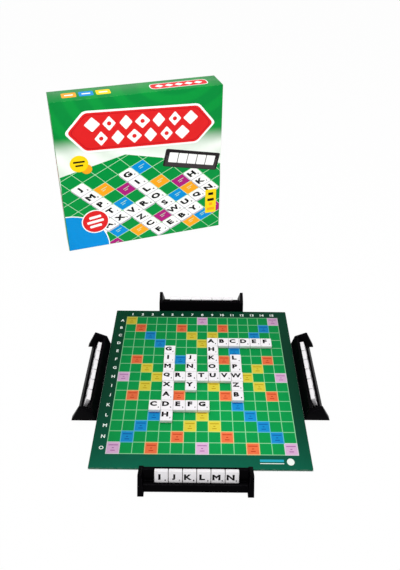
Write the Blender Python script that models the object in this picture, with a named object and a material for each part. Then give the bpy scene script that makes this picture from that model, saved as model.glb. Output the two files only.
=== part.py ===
"""A boxed word game set out for play.

The board lies flat with its middle at the origin. Four racks stand against its
edges, wooden letter tiles lie on the board and lean in the racks, and the closed
box stands upright behind. Metres, +Z up, +Y away from the near player.
"""

import math
import random

import bmesh
import bpy
from mathutils import Matrix, Vector

# Clearances that several pieces share.
TOUCH_GAP = 0.0003
CUT_OVERRUN = 0.002

# Board: one stiff sheet of greyboard with a printed grid.
BOARD_SIDE = 0.250
BOARD_THICKNESS = 0.0022
BOARD_CORNER_RADIUS = 0.0012
CORNER_STEPS = 4
CELL_COUNT = 15
CELL_PITCH = 0.0146
GRID_SHIFT_X = 0.0016
GRID_SHIFT_Y = 0.0021

# Letter tiles: painted wood, as wide as a cell, so a word with its gaps creeps over the lines.
TILE_SIDE = CELL_PITCH
TILE_GAP = 0.0003
TILE_THICKNESS = 0.0048
TILE_EDGE = 0.0005
TILE_TURN = math.radians(0.4)
TILE_SEED = 7

# The crossing words lie a little off their cells, as they were pushed together by hand.
WORDS_SHIFT_X = 0.0009
WORDS_SHIFT_Y = -0.0024

# Words on the board: row letter, first column, number of tiles, and whether it runs down.
ROW_LETTERS = "ABCDEFGHIJKLMNO"
WORDS = (
    ("D", 9, 5, True),
    ("E", 5, 8, True),
    ("F", 7, 4, True),
    ("F", 11, 5, True),
    ("D", 9, 6, False),
    ("H", 5, 7, False),
    ("K", 4, 5, False),
)

# How far each word's first and last tile were slid to the right, as shares of a tile's side.
# Where words cross, the one that runs across holds the tile.
WORD_SLIDE_SHARES = (
    (-0.14, -0.06),
    (-0.02, 0.05),
    (-0.04, -0.02),
    (-0.07, -0.08),
    (-0.14, -0.14),
    (-0.03, -0.03),
    (0.05, 0.05),
)

# Racks: hollow plastic mouldings. Depth is measured from the side next to the board.
RACK_LENGTH = 0.1245
RACK_DEPTH = 0.0303
RACK_TO_BOARD = 0.0005
RACK_WALL = 0.0016
RACK_LEAN = math.radians(20)
END_WIDTH = 0.0068
END_INNER_TAPER = 0.0026
END_OUTER_TAPER = 0.0002
END_SHOULDER_DEPTH = 0.0039
END_SHOULDER_HEIGHT = 0.0144
END_PEAK_DEPTH = 0.0197
END_PEAK_HEIGHT = 0.0220
END_ROUNDING = 0.0015
ROUNDING_STEPS = 3
RIDGE_HEIGHT = 0.0151
RIDGE_WIDTH = 0.0034
GROOVE_DEPTH = 0.0135
GROOVE_HEIGHT = 0.0027
LIP_HEIGHT = 0.0018
LIP_WIDTH = 0.0030
TROUGH_DEPTH = 0.0250
RACK_TILE_COUNT = 6
ROW_WEB = 0.0008

# Each rack: its turn about the board's middle, its place off centre, and its tiles' shift and gap.
RACKS = {
    "front": (0.0, -0.0052, 0.0009, 0.0007),
    "right": (math.radians(90), 0.0027, 0.0016, 0.0011),
    "back": (math.radians(180), 0.0, 0.0, 0.0011),
    "left": (math.radians(270), 0.0008, -0.0010, 0.0011),
}
SINGLE_TILE_RACKS = ("front", "right")

# Box: a lid that slips over a base tray, both of wrapped greyboard.
BOX_WIDTH = 0.270
BOX_HEIGHT = 0.270
BOX_DEPTH = 0.045
BOX_WALL = 0.0018
LID_CLEARANCE = 0.0005
BOX_FRONT_X = -0.0969
BOX_FRONT_Y = 0.3125
BOX_YAW = math.radians(17.9)

# Card insert in the base: two platforms with a trough between them.
INSERT_CARD = 0.0010
INSERT_PLATFORM = 0.0270
TROUGH_WIDTH = 0.1200

# Drawstring bag with the tiles that aren't in play.
BAG_WIDTH = 0.150
BAG_HEIGHT = 0.098
BAG_THICKNESS = 0.0220
BAG_ROUNDING = 0.0105
BAG_STEPS = 4

# Folded sheet with the rules of play.
LEAFLET_WIDTH = 0.148
LEAFLET_HEIGHT = 0.105
LEAFLET_THICKNESS = 0.0009


def clear_scene():
    for obj in list(bpy.data.objects):
        bpy.data.objects.remove(obj)


def material(name, colour, roughness):
    made = bpy.data.materials.new(name)
    made.use_nodes = True
    shader = made.node_tree.nodes["Principled BSDF"]
    shader.inputs["Base Color"].default_value = (*colour, 1.0)
    shader.inputs["Roughness"].default_value = roughness
    shader.inputs["Metallic"].default_value = 0.0
    return made


def board_print():
    return material("board_print", (0.0, 0.30, 0.06), 0.35)


def tile_paint():
    return material("tile_paint", (0.86, 0.84, 0.82), 0.40)


def rack_plastic():
    return material("rack_plastic", (0.012, 0.011, 0.013), 0.25)


def lid_wrap():
    return material("lid_wrap", (0.01, 0.32, 0.05), 0.30)


def base_wrap():
    return material("base_wrap", (0.80, 0.80, 0.78), 0.45)


def insert_card():
    return material("insert_card", (0.62, 0.60, 0.56), 0.80)


def bag_cloth():
    return material("bag_cloth", (0.02, 0.16, 0.06), 0.90)


def leaflet_paper():
    return material("leaflet_paper", (0.85, 0.85, 0.83), 0.60)


def new_object(name, mesh, finish, parent=None):
    obj = bpy.data.objects.new(name, mesh)
    bpy.context.scene.collection.objects.link(obj)
    if not mesh.materials:
        mesh.materials.append(finish)
    obj.parent = parent
    return obj


def empty_at(name, matrix):
    obj = bpy.data.objects.new(name, None)
    bpy.context.scene.collection.objects.link(obj)
    obj.matrix_world = matrix
    return obj


def mesh_from(name, build):
    """A mesh filled by build(bm), with its faces turned outwards."""
    bm = bmesh.new()
    build(bm)
    bmesh.ops.recalc_face_normals(bm, faces=bm.faces)
    mesh = bpy.data.meshes.new(name)
    bm.to_mesh(mesh)
    bm.free()
    return mesh


def add_prism(bm, lower, upper):
    """A closed solid between two outlines with as many points each."""
    first = [bm.verts.new(p) for p in lower]
    last = [bm.verts.new(p) for p in upper]
    bm.faces.new(reversed(first))
    bm.faces.new(last)
    for i in range(len(first)):
        j = (i + 1) % len(first)
        bm.faces.new((first[i], first[j], last[j], last[i]))


def add_block(bm, low, high):
    """A box between two corners."""
    corners = [(low[0], low[1]), (high[0], low[1]), (high[0], high[1]), (low[0], high[1])]
    add_prism(bm, [(x, y, low[2]) for x, y in corners], [(x, y, high[2]) for x, y in corners])


def offset_path(points, distance):
    """An open path moved to its left by distance, with mitred corners."""
    path = [Vector(p) for p in points]
    normals = []
    for a, b in zip(path, path[1:]):
        along = (b - a).normalized()
        normals.append(Vector((-along.y, along.x)))
    moved = []
    for i, point in enumerate(path):
        before = normals[max(i - 1, 0)]
        after = normals[min(i, len(normals) - 1)]
        mitre = (before + after).normalized()
        moved.append(point + mitre * (distance / mitre.dot(after)))
    return moved


def boolean(obj, other, operation):
    """Applies one Boolean and drops the helper."""
    bm = bmesh.new()
    modifier = obj.modifiers.new("cut", "BOOLEAN")
    modifier.object = other
    modifier.operation = operation
    modifier.solver = "EXACT"
    graph = bpy.context.evaluated_depsgraph_get()
    bm.from_mesh(obj.evaluated_get(graph).to_mesh())
    obj.modifiers.remove(modifier)
    bmesh.ops.dissolve_limit(
        bm, angle_limit=math.radians(0.01), verts=bm.verts, edges=bm.edges
    )
    bm.to_mesh(obj.data)
    bm.free()
    bpy.data.objects.remove(other)


# Board


def rounded_square(side, radius):
    """Points round a square with round corners, anticlockwise."""
    inner = side / 2 - radius
    points = []
    for turn in range(4):
        corner = Vector((inner, inner))
        for step in range(CORNER_STEPS + 1):
            angle = math.radians(90) * step / CORNER_STEPS
            point = corner + Vector((math.cos(angle), math.sin(angle))) * radius
            points.append(Matrix.Rotation(math.radians(90) * turn, 2) @ point)
    return points


def make_board():
    outline = rounded_square(BOARD_SIDE, BOARD_CORNER_RADIUS)

    def build(bm):
        add_prism(bm, [(*p, 0.0) for p in outline], [(*p, BOARD_THICKNESS) for p in outline])

    return new_object("game_board", mesh_from("game_board", build), board_print())


# Tiles


def tile_mesh():
    """One tile, lying flat with its letter side up and its middle at the origin."""
    half = TILE_SIDE / 2

    def build(bm):
        add_block(bm, (-half, -half, 0.0), (half, half, TILE_THICKNESS))
        bmesh.ops.bevel(
            bm, geom=bm.edges[:], offset=TILE_EDGE, segments=1, profile=0.5, affect="EDGES"
        )

    return mesh_from("tile", build)


def tile_spot(row, column, slide_share):
    """The middle of a word's tile, with row 0 farthest away and column 1 at the left.

    The tiles lie against each other, so their own pitch runs out from the middle cell.
    """
    middle = (CELL_COUNT - 1) / 2
    pitch = TILE_SIDE + TILE_GAP
    slide = TILE_SIDE * slide_share
    x = GRID_SHIFT_X + WORDS_SHIFT_X + (column - 1 - middle) * pitch + slide
    y = GRID_SHIFT_Y + WORDS_SHIFT_Y + (middle - row) * pitch
    return x, y


def word_cells():
    """Every cell that holds a tile, once, as (row, column), with the tile's slide as a share."""
    cells = {}
    for (letter, column, count, down), (first_share, last_share) in zip(WORDS, WORD_SLIDE_SHARES):
        row = ROW_LETTERS.index(letter)
        for i in range(count):
            cell = (row + i, column) if down else (row, column + i)
            cells[cell] = first_share + (last_share - first_share) * i / (count - 1)
    return sorted(cells.items())


def make_board_tiles(mesh, paint):
    """Tiles laid by hand, so each is turned a little in its place."""
    chance = random.Random(TILE_SEED)
    for (row, column), slide_share in word_cells():
        name = f"tile_{ROW_LETTERS[row]}{column:02d}"
        tile = new_object(name, mesh, paint)
        x, y = tile_spot(row, column, slide_share)
        tile.location = (x, y, BOARD_THICKNESS + TOUCH_GAP)
        tile.rotation_euler.z = chance.uniform(-TILE_TURN, TILE_TURN)


# Racks


def lean_up():
    """Up along the face that the tiles lean on, as (depth, height)."""
    return Vector((-math.sin(RACK_LEAN), math.cos(RACK_LEAN)))


def lean_out():
    """Out of that face, towards the player, as (depth, height)."""
    return Vector((math.cos(RACK_LEAN), math.sin(RACK_LEAN)))


def crossing(a, b, c, d):
    """Where the line through a and b meets the line through c and d."""
    first = b - a
    second = d - c
    along = (c - a).cross(second) / first.cross(second)
    return a + first * along


def groove_back():
    """The inner corner of the groove, as (depth, height)."""
    return Vector((GROOVE_DEPTH, GROOVE_HEIGHT))


def back_foot():
    return Vector((0.0, 0.0))


def front_foot():
    return Vector((TROUGH_DEPTH, 0.0))


def trough_section():
    """The trough's skin as (depth, height), from the board side over the ridge to the player's side."""
    rest_length = (RIDGE_HEIGHT - GROOVE_HEIGHT) / math.cos(RACK_LEAN)
    ridge_front = groove_back() + lean_up() * rest_length
    ridge_back = ridge_front - Vector((RIDGE_WIDTH, 0.0))
    groove_front = groove_back() + lean_out() * (TILE_THICKNESS + TOUCH_GAP * 2)
    lip_inner = groove_front + lean_up() * LIP_HEIGHT
    lip_outer = lip_inner + Vector((LIP_WIDTH, 0.0))
    return [
        back_foot(),
        ridge_back,
        ridge_front,
        groove_back(),
        groove_front,
        lip_inner,
        lip_outer,
        front_foot(),
    ]


def trough_core():
    """The skin without its lip: the groove's floor and the front run on until they meet."""
    skin = trough_section()
    toe = crossing(skin[3], skin[4], skin[6], skin[7])
    return [*skin[:4], toe, front_foot()]


def end_section():
    """The outline of an end panel as (depth, height)."""
    return [
        Vector((0.0, 0.0)),
        Vector((END_SHOULDER_DEPTH, END_SHOULDER_HEIGHT)),
        Vector((END_PEAK_DEPTH, END_PEAK_HEIGHT)),
        Vector((RACK_DEPTH, 0.0)),
    ]


def rounded_path(points, radius):
    """An open path that turns clockwise, with its inner corners rounded."""
    rounded = [points[0]]
    for a, b, c in zip(points, points[1:], points[2:]):
        into = (b - a).normalized()
        turn = into.angle((c - b).normalized())
        start = b - into * (radius * math.tan(turn / 2))
        centre = start + Vector((into.y, -into.x)) * radius
        for step in range(ROUNDING_STEPS + 1):
            part_turn = Matrix.Rotation(-turn * step / ROUNDING_STEPS, 2)
            rounded.append(centre + part_turn @ (start - centre))
    rounded.append(points[-1])
    return rounded


def hollow_of(section):
    """The section moved in by one wall and run out below the table, for a cutter."""
    start = section[0] + (section[0] - section[1]).normalized() * CUT_OVERRUN
    end = section[-1] + (section[-1] - section[-2]).normalized() * CUT_OVERRUN
    return offset_path([start, *section[1:-1], end], -RACK_WALL)


def at_section(x, point):
    """A point of the rack: x along it, and depth away from the board is -Y."""
    return (x, -point.x, point.y)


def prism_along(name, section, low, high):
    def build(bm):
        lower = [at_section(low, p) for p in section]
        upper = [at_section(high, p) for p in section]
        add_prism(bm, lower, upper)

    return mesh_from(name, build)


def inner_taper(height):
    """How much an end panel is drawn back from the tiles at a height."""
    return END_INNER_TAPER * height / END_PEAK_HEIGHT


def end_mesh(name, section, inner, outer, side):
    """An end panel or its hollow, which gets thinner towards the top."""

    def build(bm):
        lower = []
        upper = []
        for p in section:
            taper = END_OUTER_TAPER * p.y / END_PEAK_HEIGHT
            lower.append(at_section(side * (inner + inner_taper(p.y)), p))
            upper.append(at_section(side * (outer - taper), p))
        add_prism(bm, lower, upper)

    return mesh_from(name, build)


def rack_mesh():
    """One rack, with its board side at y = 0 and its underside open at z = 0."""
    inner = RACK_LENGTH / 2 - END_WIDTH
    outer = RACK_LENGTH / 2
    trough = trough_section()
    overlap = inner + inner_taper(RIDGE_HEIGHT) + RACK_WALL / 2
    plastic = rack_plastic()
    body = new_object("rack", prism_along("rack", trough, -overlap, overlap), plastic)
    for side in (-1, 1):
        outline = rounded_path(end_section(), END_ROUNDING)
        panel = end_mesh("end_panel", outline, inner, outer, side)
        boolean(body, new_object("end_panel", panel, plastic), "UNION")
    hollow = prism_along("hollow", hollow_of(trough_core()), -inner, inner)
    boolean(body, new_object("hollow", hollow, plastic), "DIFFERENCE")
    for side in (-1, 1):
        near = inner + RACK_WALL
        far = outer - RACK_WALL
        hollow = end_mesh("end_hollow", hollow_of(end_section()), near, far, side)
        boolean(body, new_object("end_hollow", hollow, plastic), "DIFFERENCE")
    mesh = body.data
    bpy.data.objects.remove(body)
    return mesh


def rack_place(turn, off_centre):
    """Where a rack stands: against one edge of the board, facing away from it."""
    edge = BOARD_SIDE / 2 + RACK_TO_BOARD
    return Matrix.Rotation(turn, 4, "Z") @ Matrix.Translation((off_centre, -edge, 0.0))


def rack_tile_place(x):
    """A tile's place in its rack: leaning on the rest, letter side to the player."""
    seat = groove_back() + (lean_up() + lean_out()) * TOUCH_GAP
    middle = seat + lean_up() * (TILE_SIDE / 2)
    stand = Matrix.Rotation(math.radians(90) - RACK_LEAN, 4, "X")
    return Matrix.Translation(at_section(x, middle)) @ stand


def row_mesh(tile, pitch):
    """The tiles of one rack as one piece, held together by a thin web inside the gaps."""
    half_row = (RACK_TILE_COUNT - 1) / 2 * pitch
    web_half = TILE_SIDE / 2 - TILE_EDGE * 2
    web_low = (TILE_THICKNESS - ROW_WEB) / 2

    def build(bm):
        low = (-half_row, -web_half, web_low)
        high = (half_row, web_half, web_low + ROW_WEB)
        add_block(bm, low, high)

    row = new_object("row", mesh_from("row", build), tile.materials[0])
    for index in range(RACK_TILE_COUNT):
        copy = new_object("row_tile", tile.copy(), tile.materials[0])
        copy.location.x = index * pitch - half_row
        bpy.context.view_layer.update()
        boolean(row, copy, "UNION")
    mesh = row.data
    bpy.data.objects.remove(row)
    return mesh


def make_racks(tile):
    paint = tile.materials[0]
    rack = rack_mesh()
    middle = (RACK_TILE_COUNT - 1) / 2
    for name, (turn, off_centre, tiles_shift, tile_gap) in RACKS.items():
        place = empty_at(f"place_{name}", rack_place(turn, off_centre))
        new_object(f"rack_{name}", rack, rack.materials[0], place)
        pitch = TILE_SIDE + tile_gap
        if name in SINGLE_TILE_RACKS:
            for index in range(RACK_TILE_COUNT):
                single = new_object(f"{name}_tile_{index + 1}", tile, paint, place)
                single.matrix_local = rack_tile_place(tiles_shift + (index - middle) * pitch)
        else:
            tiles = new_object(f"tile_row_{name}", row_mesh(tile, pitch), paint, place)
            tiles.matrix_local = rack_tile_place(tiles_shift)


# Box


def tray_mesh(name, width, height, front, back, panel_at_front):
    """An open tray of one wall thickness. Its panel is at its front or its back."""
    half = width / 2

    def build_outer(bm):
        low_z = (BOX_HEIGHT - height) / 2
        add_block(bm, (-half, front, low_z), (half, back, low_z + height))

    def build_inner(bm):
        low_z = (BOX_HEIGHT - height) / 2 + BOX_WALL
        high_z = low_z + height - BOX_WALL * 2
        if panel_at_front:
            near, far = front + BOX_WALL, back + CUT_OVERRUN
        else:
            near, far = front - CUT_OVERRUN, back - BOX_WALL
        add_block(bm, (BOX_WALL - half, near, low_z), (half - BOX_WALL, far, high_z))

    tray = new_object(name, mesh_from(name, build_outer), None)
    boolean(tray, new_object("hollow", mesh_from("hollow", build_inner), None), "DIFFERENCE")
    mesh = tray.data
    bpy.data.objects.remove(tray)
    mesh.materials.clear()
    return mesh


def base_inset():
    """How far the base's outside lies within the lid's outside."""
    return BOX_WALL + LID_CLEARANCE


def make_lid(place):
    mesh = tray_mesh("box_lid", BOX_WIDTH, BOX_HEIGHT, 0.0, BOX_DEPTH, True)
    return new_object("box_lid", mesh, lid_wrap(), place)


def make_base(place):
    width = BOX_WIDTH - base_inset() * 2
    height = BOX_HEIGHT - base_inset() * 2
    front = BOX_WALL + TOUCH_GAP
    mesh = tray_mesh("box_base", width, height, front, BOX_DEPTH, False)
    return new_object("box_base", mesh, base_wrap(), place)


def inside_base():
    """Half width, lowest height and back of the space inside the base."""
    half = BOX_WIDTH / 2 - base_inset() - BOX_WALL
    return half, base_inset() + BOX_WALL, BOX_DEPTH - BOX_WALL


def insert_section():
    """The folded card as (height, distance from the base's panel), bottom to top."""
    low = inside_base()[1] + TOUCH_GAP
    high = BOX_HEIGHT - low
    trough_low = (BOX_HEIGHT - TROUGH_WIDTH) / 2
    trough_high = trough_low + TROUGH_WIDTH
    floor = TOUCH_GAP + INSERT_CARD
    return [
        Vector((low, TOUCH_GAP)),
        Vector((low, INSERT_PLATFORM)),
        Vector((trough_low, INSERT_PLATFORM)),
        Vector((trough_low, floor)),
        Vector((trough_high, floor)),
        Vector((trough_high, INSERT_PLATFORM)),
        Vector((high, INSERT_PLATFORM)),
        Vector((high, TOUCH_GAP)),
    ]


def make_insert(place):
    half, _, back = inside_base()
    half -= TOUCH_GAP
    outer = insert_section()
    inner = offset_path(outer, -INSERT_CARD)
    outline = outer + inner[::-1]

    def build(bm):
        lower = [(-half, back - p.y, p.x) for p in outline]
        upper = [(half, back - p.y, p.x) for p in outline]
        add_prism(bm, lower, upper)

    return new_object("card_insert", mesh_from("card_insert", build), insert_card(), place)


def make_bag(place):
    """The bag rests on the lower side of the trough, against its floor."""
    _, _, back = inside_base()
    low_z = (BOX_HEIGHT - TROUGH_WIDTH) / 2 + TOUCH_GAP
    far = back - (TOUCH_GAP + INSERT_CARD) - TOUCH_GAP
    half = BAG_WIDTH / 2

    def build(bm):
        add_block(bm, (-half, far - BAG_THICKNESS, low_z), (half, far, low_z + BAG_HEIGHT))
        bmesh.ops.bevel(
            bm,
            geom=bm.edges[:],
            offset=BAG_ROUNDING,
            segments=BAG_STEPS,
            profile=0.5,
            affect="EDGES",
        )

    return new_object("tile_bag", mesh_from("tile_bag", build), bag_cloth(), place)


def make_leaflet(place):
    """The leaflet stands on the base's lower side, flat against the insert."""
    _, low, back = inside_base()
    far = back - INSERT_PLATFORM - TOUCH_GAP
    half = LEAFLET_WIDTH / 2
    low_z = low + TOUCH_GAP

    def build(bm):
        near = (-half, far - LEAFLET_THICKNESS, low_z)
        add_block(bm, near, (half, far, low_z + LEAFLET_HEIGHT))

    mesh = mesh_from("rules_leaflet", build)
    return new_object("rules_leaflet", mesh, leaflet_paper(), place)


def make_box():
    spot = Matrix.Translation((BOX_FRONT_X, BOX_FRONT_Y, 0.0))
    place = empty_at("place_box", spot @ Matrix.Rotation(BOX_YAW, 4, "Z"))
    make_lid(place)
    make_base(place)
    make_insert(place)
    make_bag(place)
    make_leaflet(place)


def make_game():
    clear_scene()
    make_board()
    paint = tile_paint()
    tile = tile_mesh()
    tile.materials.append(paint)
    make_board_tiles(tile, paint)
    make_racks(tile)
    make_box()
    bpy.context.view_layer.update()


make_game()
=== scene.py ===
import itertools
import math

import bmesh
import bpy
from mathutils import Matrix, Vector, noise


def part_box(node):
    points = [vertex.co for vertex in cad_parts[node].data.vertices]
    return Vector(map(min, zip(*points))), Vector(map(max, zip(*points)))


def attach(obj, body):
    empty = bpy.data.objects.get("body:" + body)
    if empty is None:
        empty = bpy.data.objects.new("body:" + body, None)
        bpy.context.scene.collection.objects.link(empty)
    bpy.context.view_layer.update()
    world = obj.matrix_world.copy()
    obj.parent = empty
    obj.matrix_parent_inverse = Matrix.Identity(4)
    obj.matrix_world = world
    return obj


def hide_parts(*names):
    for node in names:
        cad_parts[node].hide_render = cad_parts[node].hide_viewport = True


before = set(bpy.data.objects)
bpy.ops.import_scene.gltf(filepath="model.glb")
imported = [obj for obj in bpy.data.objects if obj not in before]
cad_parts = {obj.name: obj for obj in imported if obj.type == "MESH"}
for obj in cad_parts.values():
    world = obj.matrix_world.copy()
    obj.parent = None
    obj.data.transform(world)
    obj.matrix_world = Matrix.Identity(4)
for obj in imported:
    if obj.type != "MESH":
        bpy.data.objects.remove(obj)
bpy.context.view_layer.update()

# Camera
# It stands a little way back from the near rack and looks down at the board, with the
# board in the lower half of the picture and the box in the upper half.

CAMERA_PLACE = Vector((-0.0047, -0.4925, 0.5820))
CAMERA_PITCH = math.radians(31.89)
CAMERA_YAW = math.radians(0.10)
CAMERA_ROLL = math.radians(0.64)
CAMERA_SHIFT = -0.15
LENS_MM = 35.28
SENSOR_MM = 36.0

camera = bpy.data.objects.new("camera", bpy.data.cameras.new("camera"))
bpy.context.scene.collection.objects.link(camera)
camera.data.sensor_width = SENSOR_MM
camera.data.lens = LENS_MM
camera.data.shift_y = CAMERA_SHIFT
tilt = Matrix.Rotation(math.radians(90) - CAMERA_PITCH, 4, "X") @ Matrix.Rotation(CAMERA_ROLL, 4, "Z")
camera.matrix_world = Matrix.Translation(CAMERA_PLACE) @ Matrix.Rotation(-CAMERA_YAW, 4, "Z") @ tilt
bpy.context.scene.camera = camera

# Board
# One stiff sheet of greyboard, wrapped in paper printed with the field of 15 by 15 cells
# and laminated with a satin film. The wrap turns round the edges, which wear first.

BOARD_CORNER = 0.0012
BOARD_EASE = 0.0003
BOARD_EASE_SHARES = (0.0, 0.3, 1.0)
RIM_WEAR = 0.5
CELL_COUNT = 15
CELL_PITCH = 0.0146
FIELD_MIDDLE = Vector((0.0016, 0.0021))
LINE_WIDTH = 0.0010
INK_SUNK = 0.00004
INK_HEIGHT = 0.00003
MARK_HEIGHT = 0.0044
MARK_STRETCH = 1.15
MARK_WEIGHT_SHARE = 0.035
MARK_COLUMN_X = -0.1140
MARK_ROW_Y = 0.1172
ROW_LETTERS = "ABCDEFGHIJKLMNO"
# A character's outline, as shares of its height: points this close are one point, and a sharp
# corner moves out as if it were no sharper than this.
OUTLINE_MERGE = 0.004
MITRE_LIMIT = 0.65
# Each row of the field from A to O: y yellow, o orange, b blue, l lilac, and a dot for green.
FIELD_ROWS = (
    "y......l......l",
    ".o...o...o...b.",
    "..b...y.y...b..",
    "...b...y.......",
    "..........b....",
    ".o...b...o...o.",
    "..y.........y..",
    "l..y.......y..l",
    "..y.....y...y..",
    ".o...o...o...o.",
    "..........b....",
    "...b...y...b...",
    "..b...y.y...b..",
    ".b...o...o...b.",
    "l..o...l...o..l",
)
# The short bars in a coloured cell: width, and height above its middle, as shares of the cell.
CELL_BAR_SHARES = ((0.74, 0.24), (0.16, 0.00), (0.36, -0.22))
CELL_BAR_HEIGHT = 0.0011
# A plain ornament on the near border: a disc and two bars, as middle, width and height.
ORNAMENT_DISC = (Vector((0.1010, -0.1158)), 0.0042)
ORNAMENT_BAR = (Vector((0.0800, -0.1146)), 0.0270, 0.0030)
ORNAMENT_LINE = (Vector((0.0800, -0.1180)), 0.0270, 0.0009)


def screen(red, green, blue):
    """A colour as a screen shows it, 0 to 255, in the linear form that shaders take."""
    shares = [value / 255 for value in (red, green, blue)]
    linear = [s / 12.92 if s <= 0.04045 else ((s + 0.055) / 1.055) ** 2.4 for s in shares]
    return (*linear, 1.0)


# Painted shade: the field darkens away from a painted bright spot, and the border towards its far corners, as
# light falls off across the board.
PAINTED_LIGHT_SPOT = Vector((0.035, -0.064))
PAINTED_SHADE_SHARE = 0.27
BORDER_PAINTED_SHADE_POWER = 5
BORDER_SIDE_PAINTED_SHADE = 0.35
# A lit and a shaded copy of the border's one green; mixing them by place paints its shade.
BORDER_GREEN_LIT = screen(0, 102, 76)
BORDER_GREEN_SHADED = screen(1, 56, 36)
FIELD_GREEN = screen(2, 164, 80)
LINE_GREEN = screen(150, 226, 168)
UNDERSIDE_GREEN = screen(18, 52, 40)
MARK_WHITE = screen(240, 248, 242)
MARK_THIN = screen(190, 220, 204)
RUBBED_PALE = screen(214, 220, 208)
ORNAMENT_CYAN = screen(40, 168, 190)
CELL_INKS = {
    "y": screen(236, 218, 68),
    "o": screen(253, 122, 74),
    "b": screen(22, 150, 220),
    "l": screen(238, 190, 230),
}
BAR_INKS = {
    "y": screen(196, 160, 24),
    "o": screen(206, 66, 30),
    "b": screen(10, 98, 176),
    "l": screen(184, 116, 178),
}
FRAME_INKS = {
    "y": screen(226, 234, 128),
    "o": screen(250, 206, 140),
    "b": screen(104, 196, 232),
    "l": screen(236, 230, 238),
}


class Tone:
    """A socket of a material's nodes. Sums of tones add Math nodes, and node() adds any other."""

    def __init__(self, tree, socket=None):
        self.tree = tree
        self.socket = socket

    def node(self, kind, settings=None, sockets=None, output=0):
        made = self.tree.nodes.new(kind)
        for name, value in (settings or {}).items():
            setattr(made, name, value)
        for name, value in (sockets or {}).items():
            if isinstance(value, Tone):
                self.tree.links.new(value.socket, made.inputs[name])
            else:
                made.inputs[name].default_value = value
        return Tone(self.tree, made.outputs[output])

    def maths(self, operation, *values):
        return self.node("ShaderNodeMath", {"operation": operation}, dict(enumerate(values)))

    def __add__(self, other):
        return self.maths("ADD", self, other)

    def __sub__(self, other):
        return self.maths("SUBTRACT", self, other)

    def __rsub__(self, other):
        return self.maths("SUBTRACT", other, self)

    def __mul__(self, other):
        return self.maths("MULTIPLY", self, other)

    def __lt__(self, other):
        return self.maths("LESS_THAN", self, other)

    __radd__ = __add__
    __rmul__ = __mul__


COLOUR, VECTOR, NUMBER = 0, 1, 2


def stored(tone, name, output=VECTOR):
    """An attribute of the mesh, read as a colour, a vector or a number."""
    return tone.node("ShaderNodeAttribute", {"attribute_name": name}, output=output)


def mixed(factor, first, second, blend="MIX"):
    """Two colours mixed by a factor from 0 to 1."""
    tone = next(value for value in (factor, first, second) if isinstance(value, Tone))
    settings = {"data_type": "RGBA", "blend_type": blend}
    return tone.node("ShaderNodeMix", settings, {0: factor, 6: first, 7: second}, 2)


def speckle(place, size, detail=2.0, stretch=(1.0, 1.0, 1.0)):
    """Noise from 0 to 1 whose blotches are about size across."""
    spread = place.node("ShaderNodeVectorMath", {"operation": "MULTIPLY"}, {0: place, 1: stretch})
    return place.node("ShaderNodeTexNoise", {}, {"Vector": spread, "Scale": 1 / size, "Detail": detail})


def between(tone, low, high):
    """A smooth step from 0, below low, to 1, above high."""
    settings = {"interpolation_type": "SMOOTHSTEP"}
    return tone.node("ShaderNodeMapRange", settings, {"Value": tone, "From Min": low, "From Max": high})


def mottled(blotches, ink, dark, light):
    """An ink times dark where the blotches are 0, and times light where they are 1."""
    shade = mixed(blotches, (dark, dark, dark, 1.0), (light, light, light, 1.0))
    return mixed(1.0, ink, shade, "MULTIPLY")


def worn_edges(place, size, low, high, detail=4.0):
    """Rubbed patches about size across, on the faces that are marked as edges."""
    return stored(place, "edge", NUMBER) * between(speckle(place, size, detail), low, high)


def relief(height, depth):
    """A surface raised by height, from 0 to 1, times depth."""
    return height.node("ShaderNodeBump", {}, {"Height": height, "Distance": depth})


def finish(name, uniform, varying):
    """A material. uniform goes on the shader's own sockets, and varying gives the rest as tones."""
    made = bpy.data.materials.new(name)
    made.use_nodes = True
    shader = made.node_tree.nodes["Principled BSDF"]
    for socket, value in uniform.items():
        shader.inputs[socket].default_value = value
    for socket, tone in varying(Tone(made.node_tree)).items():
        made.node_tree.links.new(tone.socket, shader.inputs[socket])
    return made


def printed_paper(tone):
    """Ink on smooth paper under a film: faint mottling, dust and the paper's grain."""
    place = stored(tone, "place")
    mottle = speckle(place, 0.009, 3.0)
    grain = speckle(place, 0.0005)
    rub = between(speckle(place, 0.022, 4.0), 0.46, 0.72)
    worn = worn_edges(place, 0.004, 0.45, 0.60)
    ink = mottled(mottle, stored(tone, "ink", COLOUR), 0.90, 1.06)
    return {
        "Base Color": mixed(worn * 0.12, ink, RUBBED_PALE),
        "Roughness": 0.36 + rub * 0.10 + worn * 0.25 + grain * 0.05,
        "Normal": relief(grain + mottle * 0.5, 0.00002),
    }


def white_print(tone):
    """White ink laid thinly, so the ground shows through it a little."""
    place = stored(tone, "place")
    thin = between(speckle(place, 0.0012, 3.0), 0.55, 0.75)
    ink = stored(tone, "ink", COLOUR)
    through = mixed(1.0, ink, MARK_THIN, "MULTIPLY")
    return {
        "Base Color": mixed(thin * 0.4, ink, through),
        "Roughness": 0.40 + thin * 0.15,
    }


print_finish = finish("board_print", {"Specular IOR Level": 0.06}, printed_paper)
mark_finish = finish("white_print", {"Specular IOR Level": 0.06}, white_print)


def sides_of(points):
    """Each point of a closed run with the one after it."""
    return zip(points, points[1:] + points[:1])


def corners_of(points):
    """Each point of a closed run with the ones before and after it."""
    return zip(points[-1:] + points[:-1], points, points[1:] + points[:1])


def add_band(bm, first, last):
    """Faces all the way round between two closed runs of as many vertices. Returns them."""
    return [bm.faces.new((a, b, d, c)) for (a, b), (c, d) in zip(sides_of(first), sides_of(last))]


def add_prism(bm, lower, upper):
    """A closed solid between two outlines with as many points each. Returns its faces."""
    first = [bm.verts.new(p) for p in lower]
    last = [bm.verts.new(p) for p in upper]
    return [bm.faces.new(first[::-1]), bm.faces.new(last), *add_band(bm, first, last)]


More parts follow.
